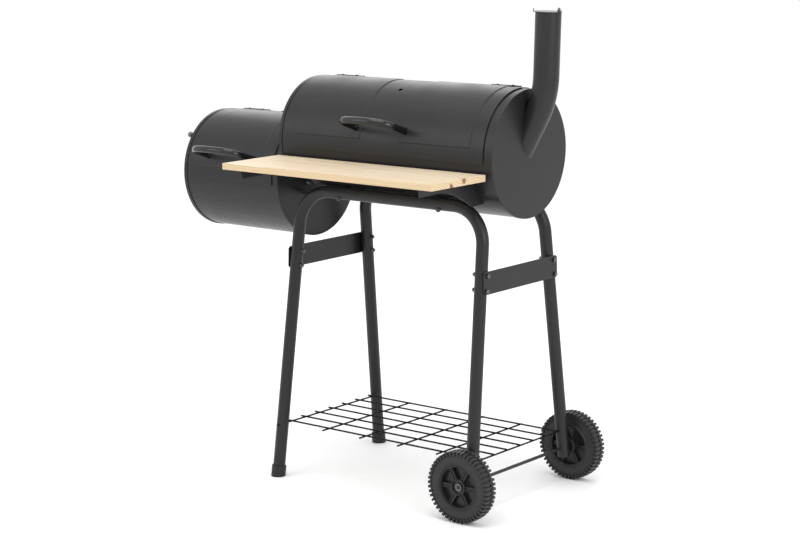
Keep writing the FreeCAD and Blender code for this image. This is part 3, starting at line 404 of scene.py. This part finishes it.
@dataclass(frozen=True)
class MouldedPlastic:
    """Moulded black plastic with a fine skin."""

    name: str
    colour: Triple = (0.03, 0.03, 0.032)
    roughness: float = 0.5
    grain: float = 0.12
    coat: float = 0.0
    gloss: float = 0.30
    fleck: float = 1.25

    def make(self) -> bpy.types.Material:
        """Build the material.

        Returns:
            The procedural material.
        """
        sheet = Sheet(self.name)
        pale = tuple(c * self.fleck for c in self.colour) + OPAQUE
        sheet.put(sheet.shader, "Base Color",
                  sheet.mix(sheet.noise(22.0, 4.0), tuple(self.colour) + OPAQUE, pale))
        sheet.put(sheet.shader, "Roughness",
                  sheet.spread(sheet.noise(60.0, 3.0), self.roughness - 0.04,
                               self.roughness + 0.05))
        sheet.put(sheet.shader, "Specular IOR Level", self.gloss)
        sheet.put(sheet.shader, "Coat Weight", self.coat)
        sheet.put(sheet.shader, "Coat Roughness", 0.12)
        sheet.bump(sheet.noise(900.0, 2.0), self.grain, 0.0003)
        return sheet.material


@dataclass(frozen=True)
class PlainSteel:
    """Plated or bare steel with a faint mottle."""

    name: str
    colour: Triple = (0.55, 0.55, 0.56)
    roughness: float = 0.32
    metallic: float = 1.0
    dulling: float = 0.72

    def make(self) -> bpy.types.Material:
        """Build the material.

        Returns:
            The procedural material.
        """
        sheet = Sheet(self.name)
        dull = tuple(c * self.dulling for c in self.colour) + OPAQUE
        sheet.put(sheet.shader, "Base Color",
                  sheet.mix(sheet.noise(140.0, 5.0), dull, tuple(self.colour) + OPAQUE))
        sheet.put(sheet.shader, "Metallic", self.metallic)
        sheet.put(sheet.shader, "Roughness",
                  sheet.spread(sheet.noise(260.0, 4.0), self.roughness - 0.08,
                               self.roughness + 0.12))
        sheet.bump(sheet.noise(700.0, 2.0), 0.12, 0.0002)
        return sheet.material


@dataclass(frozen=True)
class PineWood:
    """A planed pine strip: growth rings along X, pale faces, yellow edges, dark end grain."""

    name: str
    pith: tuple[float, float] = (0.02, -0.05)
    seed: float = 0.0
    ring_pitch: float = 0.0064
    early: Triple = (0.66, 0.56, 0.42)
    late: Triple = (0.42, 0.27, 0.13)
    knots: tuple[Triple, ...] = ()
    wander: float = 0.009
    ripple: float = 0.0008
    patch: Triple = (0.93, 0.88, 0.80)
    edge_tone: Triple = (0.58, 0.41, 0.20)
    end_tone: Triple = (0.62, 0.42, 0.20)
    knot_tone: Triple = (0.17, 0.07, 0.03)
    knot_radii: tuple[float, float] = (0.003, 0.010)

    def rings(self, sheet: Sheet) -> bpy.types.NodeSocket:
        """The ring pattern from 0 to 1, round a line along X that wanders a little."""
        split = sheet.add("ShaderNodeSeparateXYZ", Vector=sheet.place)
        slow = sheet.noise(3.0, 3.0, (1.0, 2.5, 2.5), (self.seed, 0, 0))
        bend = sheet.spread(slow, -self.wander, self.wander)
        quick = sheet.noise(40.0, 2.0, (0.25, 1, 1), (0, self.seed, 0))
        ripple = sheet.spread(quick, -self.ripple, self.ripple)
        across = sheet.maths("SUBTRACT", split.outputs["Y"], self.pith[0])
        above = sheet.maths("SUBTRACT", split.outputs["Z"], self.pith[1])
        squares = sheet.maths("ADD", sheet.maths("MULTIPLY", across, across),
                              sheet.maths("MULTIPLY", above, above))
        radius = sheet.maths("ADD", sheet.maths("SQRT", squares), sheet.maths("ADD", bend, ripple))
        phase = sheet.maths("FRACT", sheet.maths("DIVIDE", radius, self.ring_pitch))
        rise = sheet.spread(phase, 0.0, 1.0, 0.25, 0.9)
        fall = sheet.spread(phase, 1.0, 0.0, 0.93, 1.0)
        return sheet.maths("MULTIPLY", sheet.maths("POWER", rise, 1.8), fall)

    def make(self) -> bpy.types.Material:
        """Build the material.

        Returns:
            The procedural material.
        """
        sheet = Sheet(self.name)
        rings = self.rings(sheet)
        wide = sheet.noise(2.2, 4.0, (0.6, 6.0, 6.0), (self.seed * 2, 0, 0))
        early = sheet.mix(sheet.spread(wide, 0.0, 1.0, 0.35, 0.7), self.early + OPAQUE,
                          tuple(c * part for c, part in zip(self.early, self.patch)) + OPAQUE)
        normal = sheet.add("ShaderNodeSeparateXYZ",
                           Vector=sheet.add("ShaderNodeNewGeometry").outputs["Normal"])
        end = sheet.spread(sheet.maths("ABSOLUTE", normal.outputs["X"]), 0.0, 1.0, 0.75, 0.9)
        edge = sheet.spread(sheet.maths("ABSOLUTE", normal.outputs["Y"]), 0.0, 1.0, 0.75, 0.9)
        strength = sheet.maths("MULTIPLY", rings, sheet.spread(end, 0.42, 1.0))
        colour = sheet.mix(strength, early, self.late + OPAQUE)
        colour = sheet.mix(sheet.maths("MULTIPLY", edge, 0.55), colour,
                           self.edge_tone + OPAQUE)
        colour = sheet.mix(sheet.maths("MULTIPLY", end, 0.35), colour,
                           self.end_tone + OPAQUE)
        fibres = sheet.noise(160.0, 3.0, (0.04, 1.0, 1.0), (self.seed, self.seed, 0))
        colour = sheet.mix(sheet.spread(fibres, 0.0, 0.22, 0.5, 0.75), colour, self.late + OPAQUE)
        for x, y, z in self.knots:
            away = sheet.add("ShaderNodeVectorMath", {"operation": "DISTANCE"})
            sheet.put(away, 0, sheet.place)
            sheet.put(away, 1, (x, y, z))
            rough = sheet.spread(sheet.noise(90.0, 2.0), -0.003, 0.003)
            ragged = sheet.maths("ADD", away.outputs["Value"], rough)
            near = sheet.spread(ragged, 1.0, 0.0, *self.knot_radii)
            colour = sheet.mix(near, colour, self.knot_tone + OPAQUE)
        sheet.put(sheet.shader, "Base Color", colour)
        sheet.put(sheet.shader, "Roughness", sheet.spread(rings, 0.52, 0.62))
        sheet.bump(sheet.maths("ADD", fibres, sheet.maths("MULTIPLY", rings, 0.5)), 0.18, 0.0004)
        return sheet.material


@dataclass(frozen=True)
class StudioFloor:
    """A plain pale floor."""

    name: str = "pale_floor"
    colour: Triple = (0.95, 0.95, 0.95)

    def make(self) -> bpy.types.Material:
        """Build the material.

        Returns:
            The procedural material.
        """
        sheet = Sheet(self.name)
        sheet.put(sheet.shader, "Base Color", self.colour + OPAQUE)
        sheet.put(sheet.shader, "Roughness", 0.85)
        sheet.put(sheet.shader, "Specular IOR Level", 0.2)
        return sheet.material


@dataclass
class Finishes:
    """All the finishes of the smoker, made once."""

    barrel: bpy.types.Material = field(default_factory=SprayedPaint("barrel_heat_paint").make)
    stand: bpy.types.Material = field(
        default_factory=SprayedPaint("stand_paint", (0.014, 0.014, 0.015), 0.36, 0.10, 0.08).make)
    wire: bpy.types.Material = field(
        default_factory=SprayedPaint("shelf_wire_paint", (0.004, 0.004, 0.004), 0.45, 0.1, 0.05,
                                     0.12).make)
    grip: bpy.types.Material = field(
        default_factory=MouldedPlastic("handle_moulding", (0.006, 0.006, 0.007), 0.16, 0.03,
                                       0.35).make)
    tyre: bpy.types.Material = field(
        default_factory=MouldedPlastic("tyre_moulding", (0.017, 0.017, 0.018), 0.38, 0.12).make)
    rim: bpy.types.Material = field(
        default_factory=MouldedPlastic("rim_moulding", (0.014, 0.014, 0.016), 0.28, 0.06).make)
    foot: bpy.types.Material = field(
        default_factory=MouldedPlastic("foot_cap_moulding", (0.012, 0.012, 0.013), 0.45, 0.1).make)
    dark_steel: bpy.types.Material = field(
        default_factory=PlainSteel("dark_plated_steel", (0.16, 0.16, 0.17), 0.34).make)
    axle: bpy.types.Material = field(
        default_factory=PlainSteel("blackened_axle", (0.03, 0.03, 0.031), 0.4, 0.4).make)
    grate: bpy.types.Material = field(
        default_factory=PlainSteel("grate_wire", (0.42, 0.42, 0.43), 0.35).make)


# ------------------------------------------------------------------ pieces
@dataclass
class CarriedPiece:
    """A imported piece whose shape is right: merged, its edges eased, and dressed."""

    node: str
    body: str
    slot: str
    ease: float = 0.0
    smooth: float = 32.0
    flat_angle: float = 0.4
    sharp_angle: float = 40.0

    def build(self, nodes: dict[str, bpy.types.Object],
              material: bpy.types.Material) -> bpy.types.Object:
        """Copy the node's mesh, merge and ease it, and let it stand for the node.

        Args:
            nodes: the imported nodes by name.
            material: the surface finish.

        Returns:
            The dressed piece.
        """
        obj = bpy.data.objects.new(self.node + "_dressed", nodes[self.node].data.copy())
        bpy.context.scene.collection.objects.link(obj)
        open_mesh(obj, Sort.VERT)
        bpy.ops.mesh.select_all(action="SELECT")
        bpy.ops.mesh.remove_doubles(threshold=PACKED_MERGE)
        if self.ease:
            bpy.ops.mesh.dissolve_limited(angle_limit=math.radians(self.flat_angle))
        close_mesh()
        if self.ease:
            round_edges(obj, self.ease, self.sharp_angle)
        return finish_piece(obj, self.body, material, (self.node,), self.smooth)


@dataclass
class BarrelLid:
    """A lid of pressed sheet, over a quarter round, with raised panels and round lower corners."""

    node: str
    body: str
    shell: str
    radius: float = 0.1520
    sheet: float = 0.0016
    top: float = -13.0
    low: float = 94.6
    panel_top: float = -8.0
    panel_low: float = 81.7
    panel_width: float = 0.206
    panel_edge: float = 0.0360
    rise: float = 0.0016
    flank: float = 0.0020
    corner: float = 0.016
    sight_hole: float = 0.0
    sight_radius: float = 0.0055
    sight_sides: int = 32
    cutter_depth: float = 0.03
    top_steps: int = 4
    panel_steps: int = 68
    low_steps: int = 10
    corner_steps: int = 6
    hem: float = 0.0006
    hem_angle: float = 18.0
    smooth: float = 24.0
    edge_play: float = 0.2
    spans: list[tuple[float, float]] = field(default_factory=list, init=False)

    def stations(self, low_x: float, high_x: float) -> list[float]:
        """Where the lid's cross sections stand along X: its ends and its panels' ends."""
        starts = [low_x + self.panel_edge, high_x - self.panel_edge - self.panel_width]
        if high_x - low_x < 2.0 * self.panel_width:
            starts = [(low_x + high_x - self.panel_width) / 2]
        self.spans = [(start + self.flank, start + self.panel_width - self.flank)
                      for start in starts]
        inner = [x for first, last in self.spans
                 for x in (first - self.flank, first, last, last + self.flank)]
        return [low_x] + inner + [high_x]

    def axis_point(self) -> Vector:
        """A point on the barrel's axis, from its shell's box."""
        low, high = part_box(self.shell)
        return (low + high) / 2

    def turn_of(self, point: Vector) -> float:
        """The angle of a point from the top towards the front, in degrees."""
        centre = self.axis_point()
        return math.degrees(math.atan2(centre.y - point.y, point.z - centre.z))

    def build(self, material: bpy.types.Material) -> bpy.types.Object:
        """Spin, press and hem the lid.

        Args:
            material: the surface finish.

        Returns:
            The dressed lid.
        """
        low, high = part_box(self.node)
        centre = self.axis_point()
        start = math.radians(self.top)
        rim_y = centre.y - self.radius * math.sin(start)
        rim_z = centre.z + self.radius * math.cos(start)
        rim = [Vector((x, rim_y, rim_z)) for x in self.stations(low.x, high.x)]
        obj = draw_line(self.node + "_pressing", rim)
        slope = math.degrees(self.flank / self.radius)
        panel = self.panel_low - self.panel_top - 2 * slope
        for degrees, steps in ((self.panel_top - self.top, self.top_steps), (slope, 1),
                               (panel, self.panel_steps), (slope, 1),
                               (self.low - self.panel_low, self.low_steps)):
            spin(steps, degrees, centre, ALONG_X)
        self.press_panels(obj)
        self.round_corners(obj, low, high)
        close_mesh()
        apply_modifier(obj, "SOLIDIFY", thickness=self.sheet, offset=-1.0, use_even_offset=True)
        round_edges(obj, self.hem, self.hem_angle)
        if self.sight_hole:
            self.cut_sight_hole(obj)
        return finish_piece(obj, self.body, material, (self.node,), self.smooth)

    def press_panels(self, obj: bpy.types.Object) -> None:
        """Raise the panels with sloped flanks."""
        bpy.ops.mesh.select_all(action="SELECT")
        bpy.ops.mesh.remove_doubles(threshold=SHEET_MERGE)
        bpy.ops.mesh.normals_make_consistent(inside=False)
        self.face_outwards(obj)
        slope = math.degrees(self.flank / self.radius)
        grow = (self.radius + self.rise) / self.radius
        top, low = self.panel_top + slope, self.panel_low - slope
        for first, last in self.spans:
            pick(obj, Sort.FACE, lambda f: first < f.calc_center_median().x < last
                 and top < self.turn_of(f.calc_center_median()) < low)
            bpy.ops.transform.resize(value=(1.0, grow, grow), center_override=self.axis_point())

    def face_outwards(self, obj: bpy.types.Object) -> None:
        """Turn the open sheet's normals away from the axis."""
        mesh = bmesh.from_edit_mesh(obj.data)
        mesh.faces.ensure_lookup_table()
        face = mesh.faces[0]
        out = face.calc_center_median() - self.axis_point()
        if face.normal.dot(Vector((0, out.y, out.z))) < 0:
            bpy.ops.mesh.select_all(action="SELECT")
            bpy.ops.mesh.flip_normals()

    def round_corners(self, obj: bpy.types.Object, low: Vector, high: Vector) -> None:
        """Round the lid's two lower corners."""
        count = pick(obj, Sort.VERT, lambda v: self.turn_of(v.co) > self.low - self.edge_play
                     and (v.co.x < low.x + NUDGE or v.co.x > high.x - NUDGE))
        LOG.info("%s: %d corners rounded", self.node, count)
        bpy.ops.mesh.bevel(offset=self.corner, segments=self.corner_steps, affect="VERTICES")

    def cut_sight_hole(self, obj: bpy.types.Object) -> None:
        """Cut the round sight hole near the top."""
        low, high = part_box(self.node)
        centre = self.axis_point()
        lean = math.radians(self.sight_hole)
        place = Vector(((low.x + high.x) / 2, centre.y - self.radius * math.sin(lean),
                        centre.z + self.radius * math.cos(lean)))
        deselect()
        bpy.ops.mesh.primitive_cylinder_add(vertices=self.sight_sides, radius=self.sight_radius,
                                            depth=self.cutter_depth, location=place,
                                            rotation=(lean, 0, 0))
        cutter = bpy.context.object
        apply_modifier(obj, "BOOLEAN", object=cutter, operation="DIFFERENCE")
        bpy.data.objects.remove(cutter, do_unlink=True)


@dataclass
class BowHandle:
    """A moulded bow handle: an oval bar that rises from the lid, turns and runs along it."""

    node: str
    body: str
    shell: str
    turn: float = 71.3
    foot_radius: float = 0.1537
    top_radius: float = 0.2380
    half: float = 0.0740
    corner: float = 0.0400
    corner_turn: float = 77.0
    thick: float = 0.0050
    tall: float = 0.0084
    sides: int = 28
    foot_rise: float = 0.010
    foot_swell: tuple[float, float] = (1.25, 1.12)
    foot_taper: float = 0.90
    leg_taper: float = 0.99
    corner_steps: int = 14
    long_steps: int = 16
    foot_ease: float = 0.0008
    sharp_angle: float = 50.0

    def build(self, material: bpy.types.Material) -> bpy.types.Object:
        """Sweep the bar's section along the bow.

        Args:
            material: the surface finish.

        Returns:
            The dressed handle.
        """
        low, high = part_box(self.node)
        shell_low, shell_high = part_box(self.shell)
        axis_at = (shell_low + shell_high) / 2
        arc = 90.0 - self.corner_turn
        swell = math.radians(self.corner_turn)
        reach = self.corner * (1 - math.cos(swell))
        long_radius = (self.half - reach) / math.sin(math.radians(arc))
        crown = long_radius * (1 - math.cos(math.radians(arc)))
        shoulder = self.top_radius - crown - self.corner * math.sin(swell)
        deselect()
        bpy.ops.mesh.primitive_circle_add(vertices=self.sides, radius=1.0, fill_type="NGON",
                                          location=(-self.half, 0, self.foot_radius))
        obj = bpy.context.object
        obj.name = self.node + "_moulding"
        obj.scale = (self.thick * self.foot_swell[0], self.tall * self.foot_swell[1], 1.0)
        settle(obj)
        open_mesh(obj, Sort.VERT)
        bpy.ops.mesh.select_all(action="SELECT")
        foot = Vector((-self.half, 0, self.foot_radius))
        leg = shoulder - self.foot_radius - self.foot_rise
        self.raise_bar(self.foot_rise, foot, self.foot_taper)
        self.raise_bar(leg, foot, self.leg_taper)
        for steps, degrees, centre in (
                (self.corner_steps, self.corner_turn, (-self.half + self.corner, 0, shoulder)),
                (self.long_steps, 2 * arc, (0, 0, self.top_radius - long_radius)),
                (self.corner_steps, self.corner_turn, (self.half - self.corner, 0, shoulder))):
            spin(steps, degrees, Vector(centre), ALONG_Y)
        far = Vector((self.half, 0, shoulder))
        self.raise_bar(-leg, far, 1 / self.leg_taper)
        self.raise_bar(-self.foot_rise, far, 1 / self.foot_taper)
        bpy.ops.mesh.select_all(action="SELECT")
        bpy.ops.mesh.normals_make_consistent(inside=False)
        close_mesh()
        obj.rotation_euler = (math.radians(self.turn), 0, 0)
        obj.location = ((low.x + high.x) / 2, axis_at.y, axis_at.z)
        settle(obj)
        round_edges(obj, self.foot_ease, self.sharp_angle)
        return finish_piece(obj, self.body, material, (self.node,),
                            self.sharp_angle)

    def raise_bar(self, rise: float, centre: Vector, grow: float) -> None:
        """Extrude the selected section outwards and scale it about the bar's middle."""
        bpy.ops.mesh.extrude_region_move(TRANSFORM_OT_translate={"value": (0, 0, rise)})
        bpy.ops.transform.resize(value=(grow, grow, 1.0), center_override=centre)


@dataclass
class TrolleyWheel:
    """A moulded wheel: ribbed tyre with two staggered rows of blocks, and a six-spoked rim."""

    way: Way
    radius: float = 0.085
    width: float = 0.038
    lugs: int = 48
    spokes: int = 6
    sides: int = 96
    smooth: float = 30.0
    block_span: tuple[float, float] = (0.0003, 0.0176)
    block_root: float = 0.0735
    block_share: float = 0.29
    block_ease: float = 0.0009
    block_droop: float = 0.0012
    droop_zone: tuple[float, float] = (0.004, 0.003)
    spoke_reach: tuple[float, float] = (0.0180, 0.0480)
    spoke_half: float = 0.0050
    spoke_ease: float = 0.0006
    spoke_turn: float = 30.0
    trough_lip: float = 0.0018
    trough_flank: float = 0.0010
    trough_depth: float = 0.0022
    front_spokes: tuple[float, float] = (7.0, 17.5)
    back_spokes: tuple[float, float] = (20.0, 30.0)
    centre: Vector = field(init=False)
    outer_y: float = field(init=False)

    def at(self, inset: float, radius: float) -> Vector:
        """A point above the axle: inset from the outer face, at a radius."""
        return Vector((self.centre.x, self.outer_y - self.way.value * inset,
                       self.centre.z + radius))

    def build(self, finishes: Finishes) -> None:
        """Build and dress the tyre and the rim.

        Args:
            finishes: the smoker's finishes.
        """
        end = self.way.name.lower()
        low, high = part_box("wheel_tyre_" + end)
        self.centre = (low + high) / 2
        self.outer_y = high.y if self.way is Way.REAR else low.y
        body = "wheel_" + end
        finish_piece(self.tyre(), body, finishes.tyre, ("wheel_tyre_" + end,),
                     self.smooth)
        finish_piece(self.rim(), body, finishes.rim, ("wheel_rim_" + end,),
                     self.smooth)

    def outline(self, rows: Sequence[tuple[float, float]]) -> list[Vector]:
        """A closed section from inset and radius pairs in millimetres."""
        points = [self.at(inset / MM, radius / MM) for inset, radius in rows]
        return points + [points[0]]

    def tyre(self) -> bpy.types.Object:
        """The tyre's turned body and its blocks.

        Returns:
            The joined tyre.
        """
        side = [(1.6, 52.5), (0.6, 53.2), (0.6, 55.2), (1.8, 56.2), (2.0, 58.0), (1.3, 60.0),
                (1.2, 68.0), (1.6, 71.5), (2.4, 73.0), (2.8, 76.0), (3.6, 79.0), (5.6, 81.0),
                (9.0, 81.8), (18.2, 82.0), (18.5, 80.6)]
        far = [(self.width * MM - inset, radius) for inset, radius in reversed(side)]
        body = turned("wheel_tyre_%s_moulding" % self.way.name.lower(), self.outline(side + far),
                      self.centre, ALONG_Y, self.sides)
        rows = [self.block_row(index) for index in (0, 1)]
        return join_pieces([body] + rows)

    def block_row(self, index: int) -> bpy.types.Object:
        """One row of blocks round the tread: row 0 is the outer one."""
        pitch = 2 * math.pi * self.radius / self.lugs
        near, far = self.block_span
        if index:
            near, far = self.width - far, self.width - near
        corner_a, corner_b = self.at(near, self.block_root), self.at(far, self.radius - NUDGE)
        half = pitch * self.block_share
        low = Vector((self.centre.x - half, min(corner_a.y, corner_b.y), corner_a.z))
        high = Vector((self.centre.x + half, max(corner_a.y, corner_b.y), corner_b.z))
        row = block("tread_row", low, high, self.block_ease, EASE_STEPS)
        open_mesh(row)
        edge_y = self.at(near if index == 0 else far, 0).y
        wide, deep = self.droop_zone
        pick(row, Sort.VERT, lambda v: abs(v.co.y - edge_y) < wide and v.co.z > corner_b.z - deep)
        bpy.ops.transform.translate(value=(0, 0, -self.block_droop))
        bpy.ops.mesh.select_all(action="SELECT")
        step = 360.0 / self.lugs
        if index:
            bpy.ops.transform.rotate(value=math.radians(step / 2), orient_axis="Y",
                                     center_override=self.centre)
        spin(self.lugs - 1, 360.0 - step, self.centre, ALONG_Y, copies=True)
        close_mesh()
        return row

    def rim(self) -> bpy.types.Object:
        """The rim's turned body with its spokes.

        Returns:
            The joined rim.
        """
        full = self.width * MM
        section = [(2.4, 52.3), (1.4, 51.6), (1.2, 50.4), (1.8, 49.6), (3.2, 49.2), (3.6, 48.0),
                   (14.0, 46.6), (16.4, 44.8), (16.6, 21.5), (15.4, 20.0), (4.2, 19.3), (3.2, 18.6),
                   (3.2, 17.2), (4.2, 16.4), (8.6, 15.8), (9.0, 15.0), (9.0, 4.12),
                   (full - 0.2, 4.12),
                   (full - 0.2, 16.5), (full - 2.0, 18.8), (22.0, 20.5), (21.0, 22.5), (21.0, 45.0),
                   (23.0, 46.8), (full - 3.2, 48.4), (full - 2.0, 50.0), (full - 2.0, 52.3)]
        body = turned("wheel_rim_%s_moulding" % self.way.name.lower(), self.outline(section),
                      self.centre, ALONG_Y, self.sides)
        return join_pieces([body, self.spoke_set(self.front_spokes, self.way.value),
                            self.spoke_set(self.back_spokes, -self.way.value)])

    def spoke_set(self, span: tuple[float, float], outward: float) -> bpy.types.Object:
        """Box spokes with a trough along each.

        Args:
            span: the two insets that they lie between, in millimetres.
            outward: the direction along Y that the troughs face.

        Returns:
            The ring of spokes.
        """
        root, tip = self.spoke_reach
        a, b = self.at(span[0] / MM, root), self.at(span[1] / MM, tip)
        low = Vector((self.centre.x - self.spoke_half, min(a.y, b.y), a.z))
        high = Vector((self.centre.x + self.spoke_half, max(a.y, b.y), b.z))
        spoke = block("rim_spoke", low, high, self.spoke_ease, EASE_STEPS)
        open_mesh(spoke)
        pick(spoke, Sort.FACE, lambda f: f.normal.y * outward > 0.99)
        bpy.ops.mesh.inset(thickness=self.trough_lip, depth=0.0)
        bpy.ops.mesh.inset(thickness=self.trough_flank, depth=-self.trough_depth)
        bpy.ops.mesh.select_all(action="SELECT")
        bpy.ops.transform.rotate(value=math.radians(self.spoke_turn), orient_axis="Y",
                                 center_override=self.centre)
        step = 360.0 / self.spokes
        spin(self.spokes - 1, 360.0 - step, self.centre, ALONG_Y, copies=True)
        close_mesh()
        return spoke


@dataclass
class ServingBoard:
    """The front board, glued up from three planed pine strips."""

    node: str = "serving_board"
    strips: int = 3
    joint: float = 0.0005
    edge: float = 0.0009
    edge_steps: int = 3
    smooth: float = 40.0
    knot_inset: float = 0.001
    seeds: tuple[float, float] = (0.4, 1.7)

    def build(self) -> None:
        """Build and dress the strips, front one first."""
        low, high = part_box(self.node)
        width = (high.y - low.y) / self.strips
        middle = (low.z + high.z) / 2
        knot_x = high.x - self.knot_inset
        knots = ((knot_x, low.y + width * 1.06, middle - 0.005),
                 (knot_x, low.y + width * 1.78, middle + 0.004))
        piths = ((low.y + width * 0.1, low.z - 0.055), (low.y + width * 1.7, high.z + 0.045),
                 (low.y + width * 2.4, low.z - 0.05))
        for index in range(self.strips):
            near = Vector((low.x, low.y + width * index + (self.joint if index else 0.0), low.z))
            far = Vector((high.x, low.y + width * (index + 1), high.z))
            strip = block("serving_board_strip_%d" % (index + 1), near, far, self.edge,
                          self.edge_steps)
            first_seed, seed_step = self.seeds
            wood = PineWood("pine_strip_%d" % (index + 1), piths[index],
                            seed_step * index + first_seed, knots=knots if index == 1 else ())
            finish_piece(strip, ROOT, wood.make(), (self.node,), self.smooth)


@dataclass
class Studio:
    """The pale floor, soft lights, plain surround and camera."""

    camera_place: Triple = (3.05979, -3.71693, 1.39549)
    yaw: float = 38.33
    pitch: float = -10.27
    roll: float = -0.23
    lens: float = 89.74
    surround: float = 1.06
    floor_radius: float = 40.0
    floor_drop: float = 0.0005
    far_clip: float = 100.0

    def build(self) -> None:
        """Make the floor, the surround, the lights and the camera."""
        bpy.context.scene.view_settings.view_transform = "Standard"
        deselect()
        bpy.ops.mesh.primitive_circle_add(vertices=96, radius=self.floor_radius, fill_type="NGON",
                                          location=(0, 0, -self.floor_drop))
        floor = bpy.context.object
        floor.name = "studio_floor"
        settle(floor)
        floor.data.materials.append(StudioFloor().make())
        world = bpy.data.worlds.new("studio_surround")
        world.use_nodes = True
        background = world.node_tree.nodes["Background"]
        background.inputs["Color"].default_value = (1.0, 1.0, 1.0, 1.0)
        background.inputs["Strength"].default_value = self.surround
        bpy.context.scene.world = world
        self.soft_light("overhead_softbox", (0.3, -0.9, 3.2), (0.0, 0.0, 0.8), 2.4, 40.0)
        self.soft_light("front_left_softbox", (-2.2, -3.2, 2.2), (0.0, 0.0, 0.8), 1.8, 13.0)
        self.soft_light("right_softbox", (3.4, -0.6, 1.8), (0.2, 0.0, 0.8), 1.4, 30.0)
        self.soft_light("rear_left_softbox", (-2.4, 2.6, 2.6), (-0.1, 0.0, 0.9), 2.2, 16.0)
        self.make_camera()

    def soft_light(self, name: str, place: Triple,
                   target: Triple, size: float, power: float) -> None:
        """Add a square soft light that faces a target.

        Args:
            name: the light's name.
            place: where it stands.
            target: the point that it faces.
            size: the length of its sides.
            power: its power in watts.
        """
        lamp = bpy.data.lights.new(name, "AREA")
        lamp.size = size
        lamp.energy = power
        obj = bpy.data.objects.new(name, lamp)
        obj.location = place
        aim = Vector(target) - Vector(place)
        obj.rotation_euler = aim.to_track_quat("-Z", "Y").to_euler()
        bpy.context.scene.collection.objects.link(obj)

    def make_camera(self) -> None:
        """Place the camera by its yaw, pitch and roll."""
        yaw, pitch, roll = (math.radians(a) for a in (self.yaw, self.pitch, self.roll))
        ahead = Vector((-math.sin(yaw) * math.cos(pitch), math.cos(yaw) * math.cos(pitch),
                        math.sin(pitch)))
        right = ahead.cross(Vector((0, 0, 1))).normalized()
        up = right.cross(ahead)
        side = right * math.cos(roll) + up * math.sin(roll)
        top = up * math.cos(roll) - right * math.sin(roll)
        data = bpy.data.cameras.new("studio_camera")
        data.lens = self.lens
        data.sensor_width = 36.0
        data.clip_end = self.far_clip
        camera = bpy.data.objects.new("studio_camera", data)
        place = Matrix((side, top, -ahead)).transposed().to_4x4()
        place.translation = Vector(self.camera_place)
        camera.matrix_world = place
        bpy.context.scene.collection.objects.link(camera)
        bpy.context.scene.camera = camera


@dataclass
class Smoker:
    """The whole smoker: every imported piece, dressed or remade."""

    frame: dict[str, object]

    def body_of(self, node: str) -> str:
        """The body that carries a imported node."""
        return self.frame["nodes"][node]["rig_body"]

    def carry(self, material: bpy.types.Material, slot: str, ease: float, *nodes: str) -> None:
        """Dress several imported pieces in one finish."""
        for node in nodes:
            CarriedPiece(node, self.body_of(node), slot, ease).build(self.frame["nodes"], material)

    def build(self) -> None:
        """Build and dress every piece."""
        finishes = Finishes()
        BarrelLid("main_lid", "main_lid", "main_shell", sight_hole=26.5).build(finishes.barrel)
        BarrelLid("firebox_lid", "firebox_lid", "firebox_shell").build(finishes.barrel)
        BowHandle("main_lid_handle", "main_lid", "main_shell").build(finishes.grip)
        BowHandle("firebox_lid_handle", "firebox_lid", "firebox_shell").build(finishes.grip)
        for way in Way:
            TrolleyWheel(way).build(finishes)
        ServingBoard().build()
        self.carry(finishes.barrel, "heat_paint", 0.0, "main_shell", "main_cap_left",
                   "main_cap_right",
                   "firebox_shell", "firebox_cap_left", "firebox_cap_right", "smoke_collar",
                   "chimney_pipe", "grate_rests")
        self.carry(finishes.barrel, "heat_paint", 0.0003, "hinge_fixed_leaves",
                   "main_lid_hinge_leaves",
                   "firebox_lid_hinge_leaves", "chimney_damper", "air_damper_disc")
        self.carry(finishes.stand, "heat_paint", 0.0, "arch_front", "arch_rear", "leg_front_left",
                   "leg_rear_left", "leg_front_right", "leg_rear_right")
        self.carry(finishes.stand, "heat_paint", 0.0006, "brace_left", "brace_right",
                   "bracket_left",
                   "bracket_right")
        self.carry(finishes.wire, "heat_paint", 0.0, "wire_shelf")
        self.carry(finishes.foot, "foot_plastic", 0.0012, "foot_cap_front", "foot_cap_rear")
        self.carry(finishes.dark_steel, "fastener_steel", 0.0006, "main_lid_handle_screws",
                   "firebox_lid_handle_screws", "main_lid_rivets", "firebox_lid_rivets",
                   "hinge_fixed_rivets", "collar_bolts", "collar_nuts", "air_damper_rivet",
                   "chimney_damper_pin", "arch_bolts", "brace_bolts", "frame_nuts", "board_screws",
                   "bracket_bolts")
        self.carry(finishes.dark_steel, "fastener_steel", 0.0, "hinge_pins", "arch_washers")
        self.carry(finishes.dark_steel, "bright_steel", 0.0, "air_damper_knob")
        self.carry(finishes.axle, "bright_steel", 0.0, "axle")
        self.carry(finishes.dark_steel, "bright_steel", 0.0005, "axle_caps")
        self.carry(finishes.grate, "grate_steel", 0.0, "cooking_grate_left", "cooking_grate_right",
                   "charcoal_grate", "firebox_grate")


def main() -> None:
    """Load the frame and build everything."""
    logging.basicConfig(level=logging.INFO, format="%(name)s: %(message)s")
    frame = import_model()
    deselect()
    Studio().build()
    Smoker(frame).build()


if __name__ == "__main__":
    main()
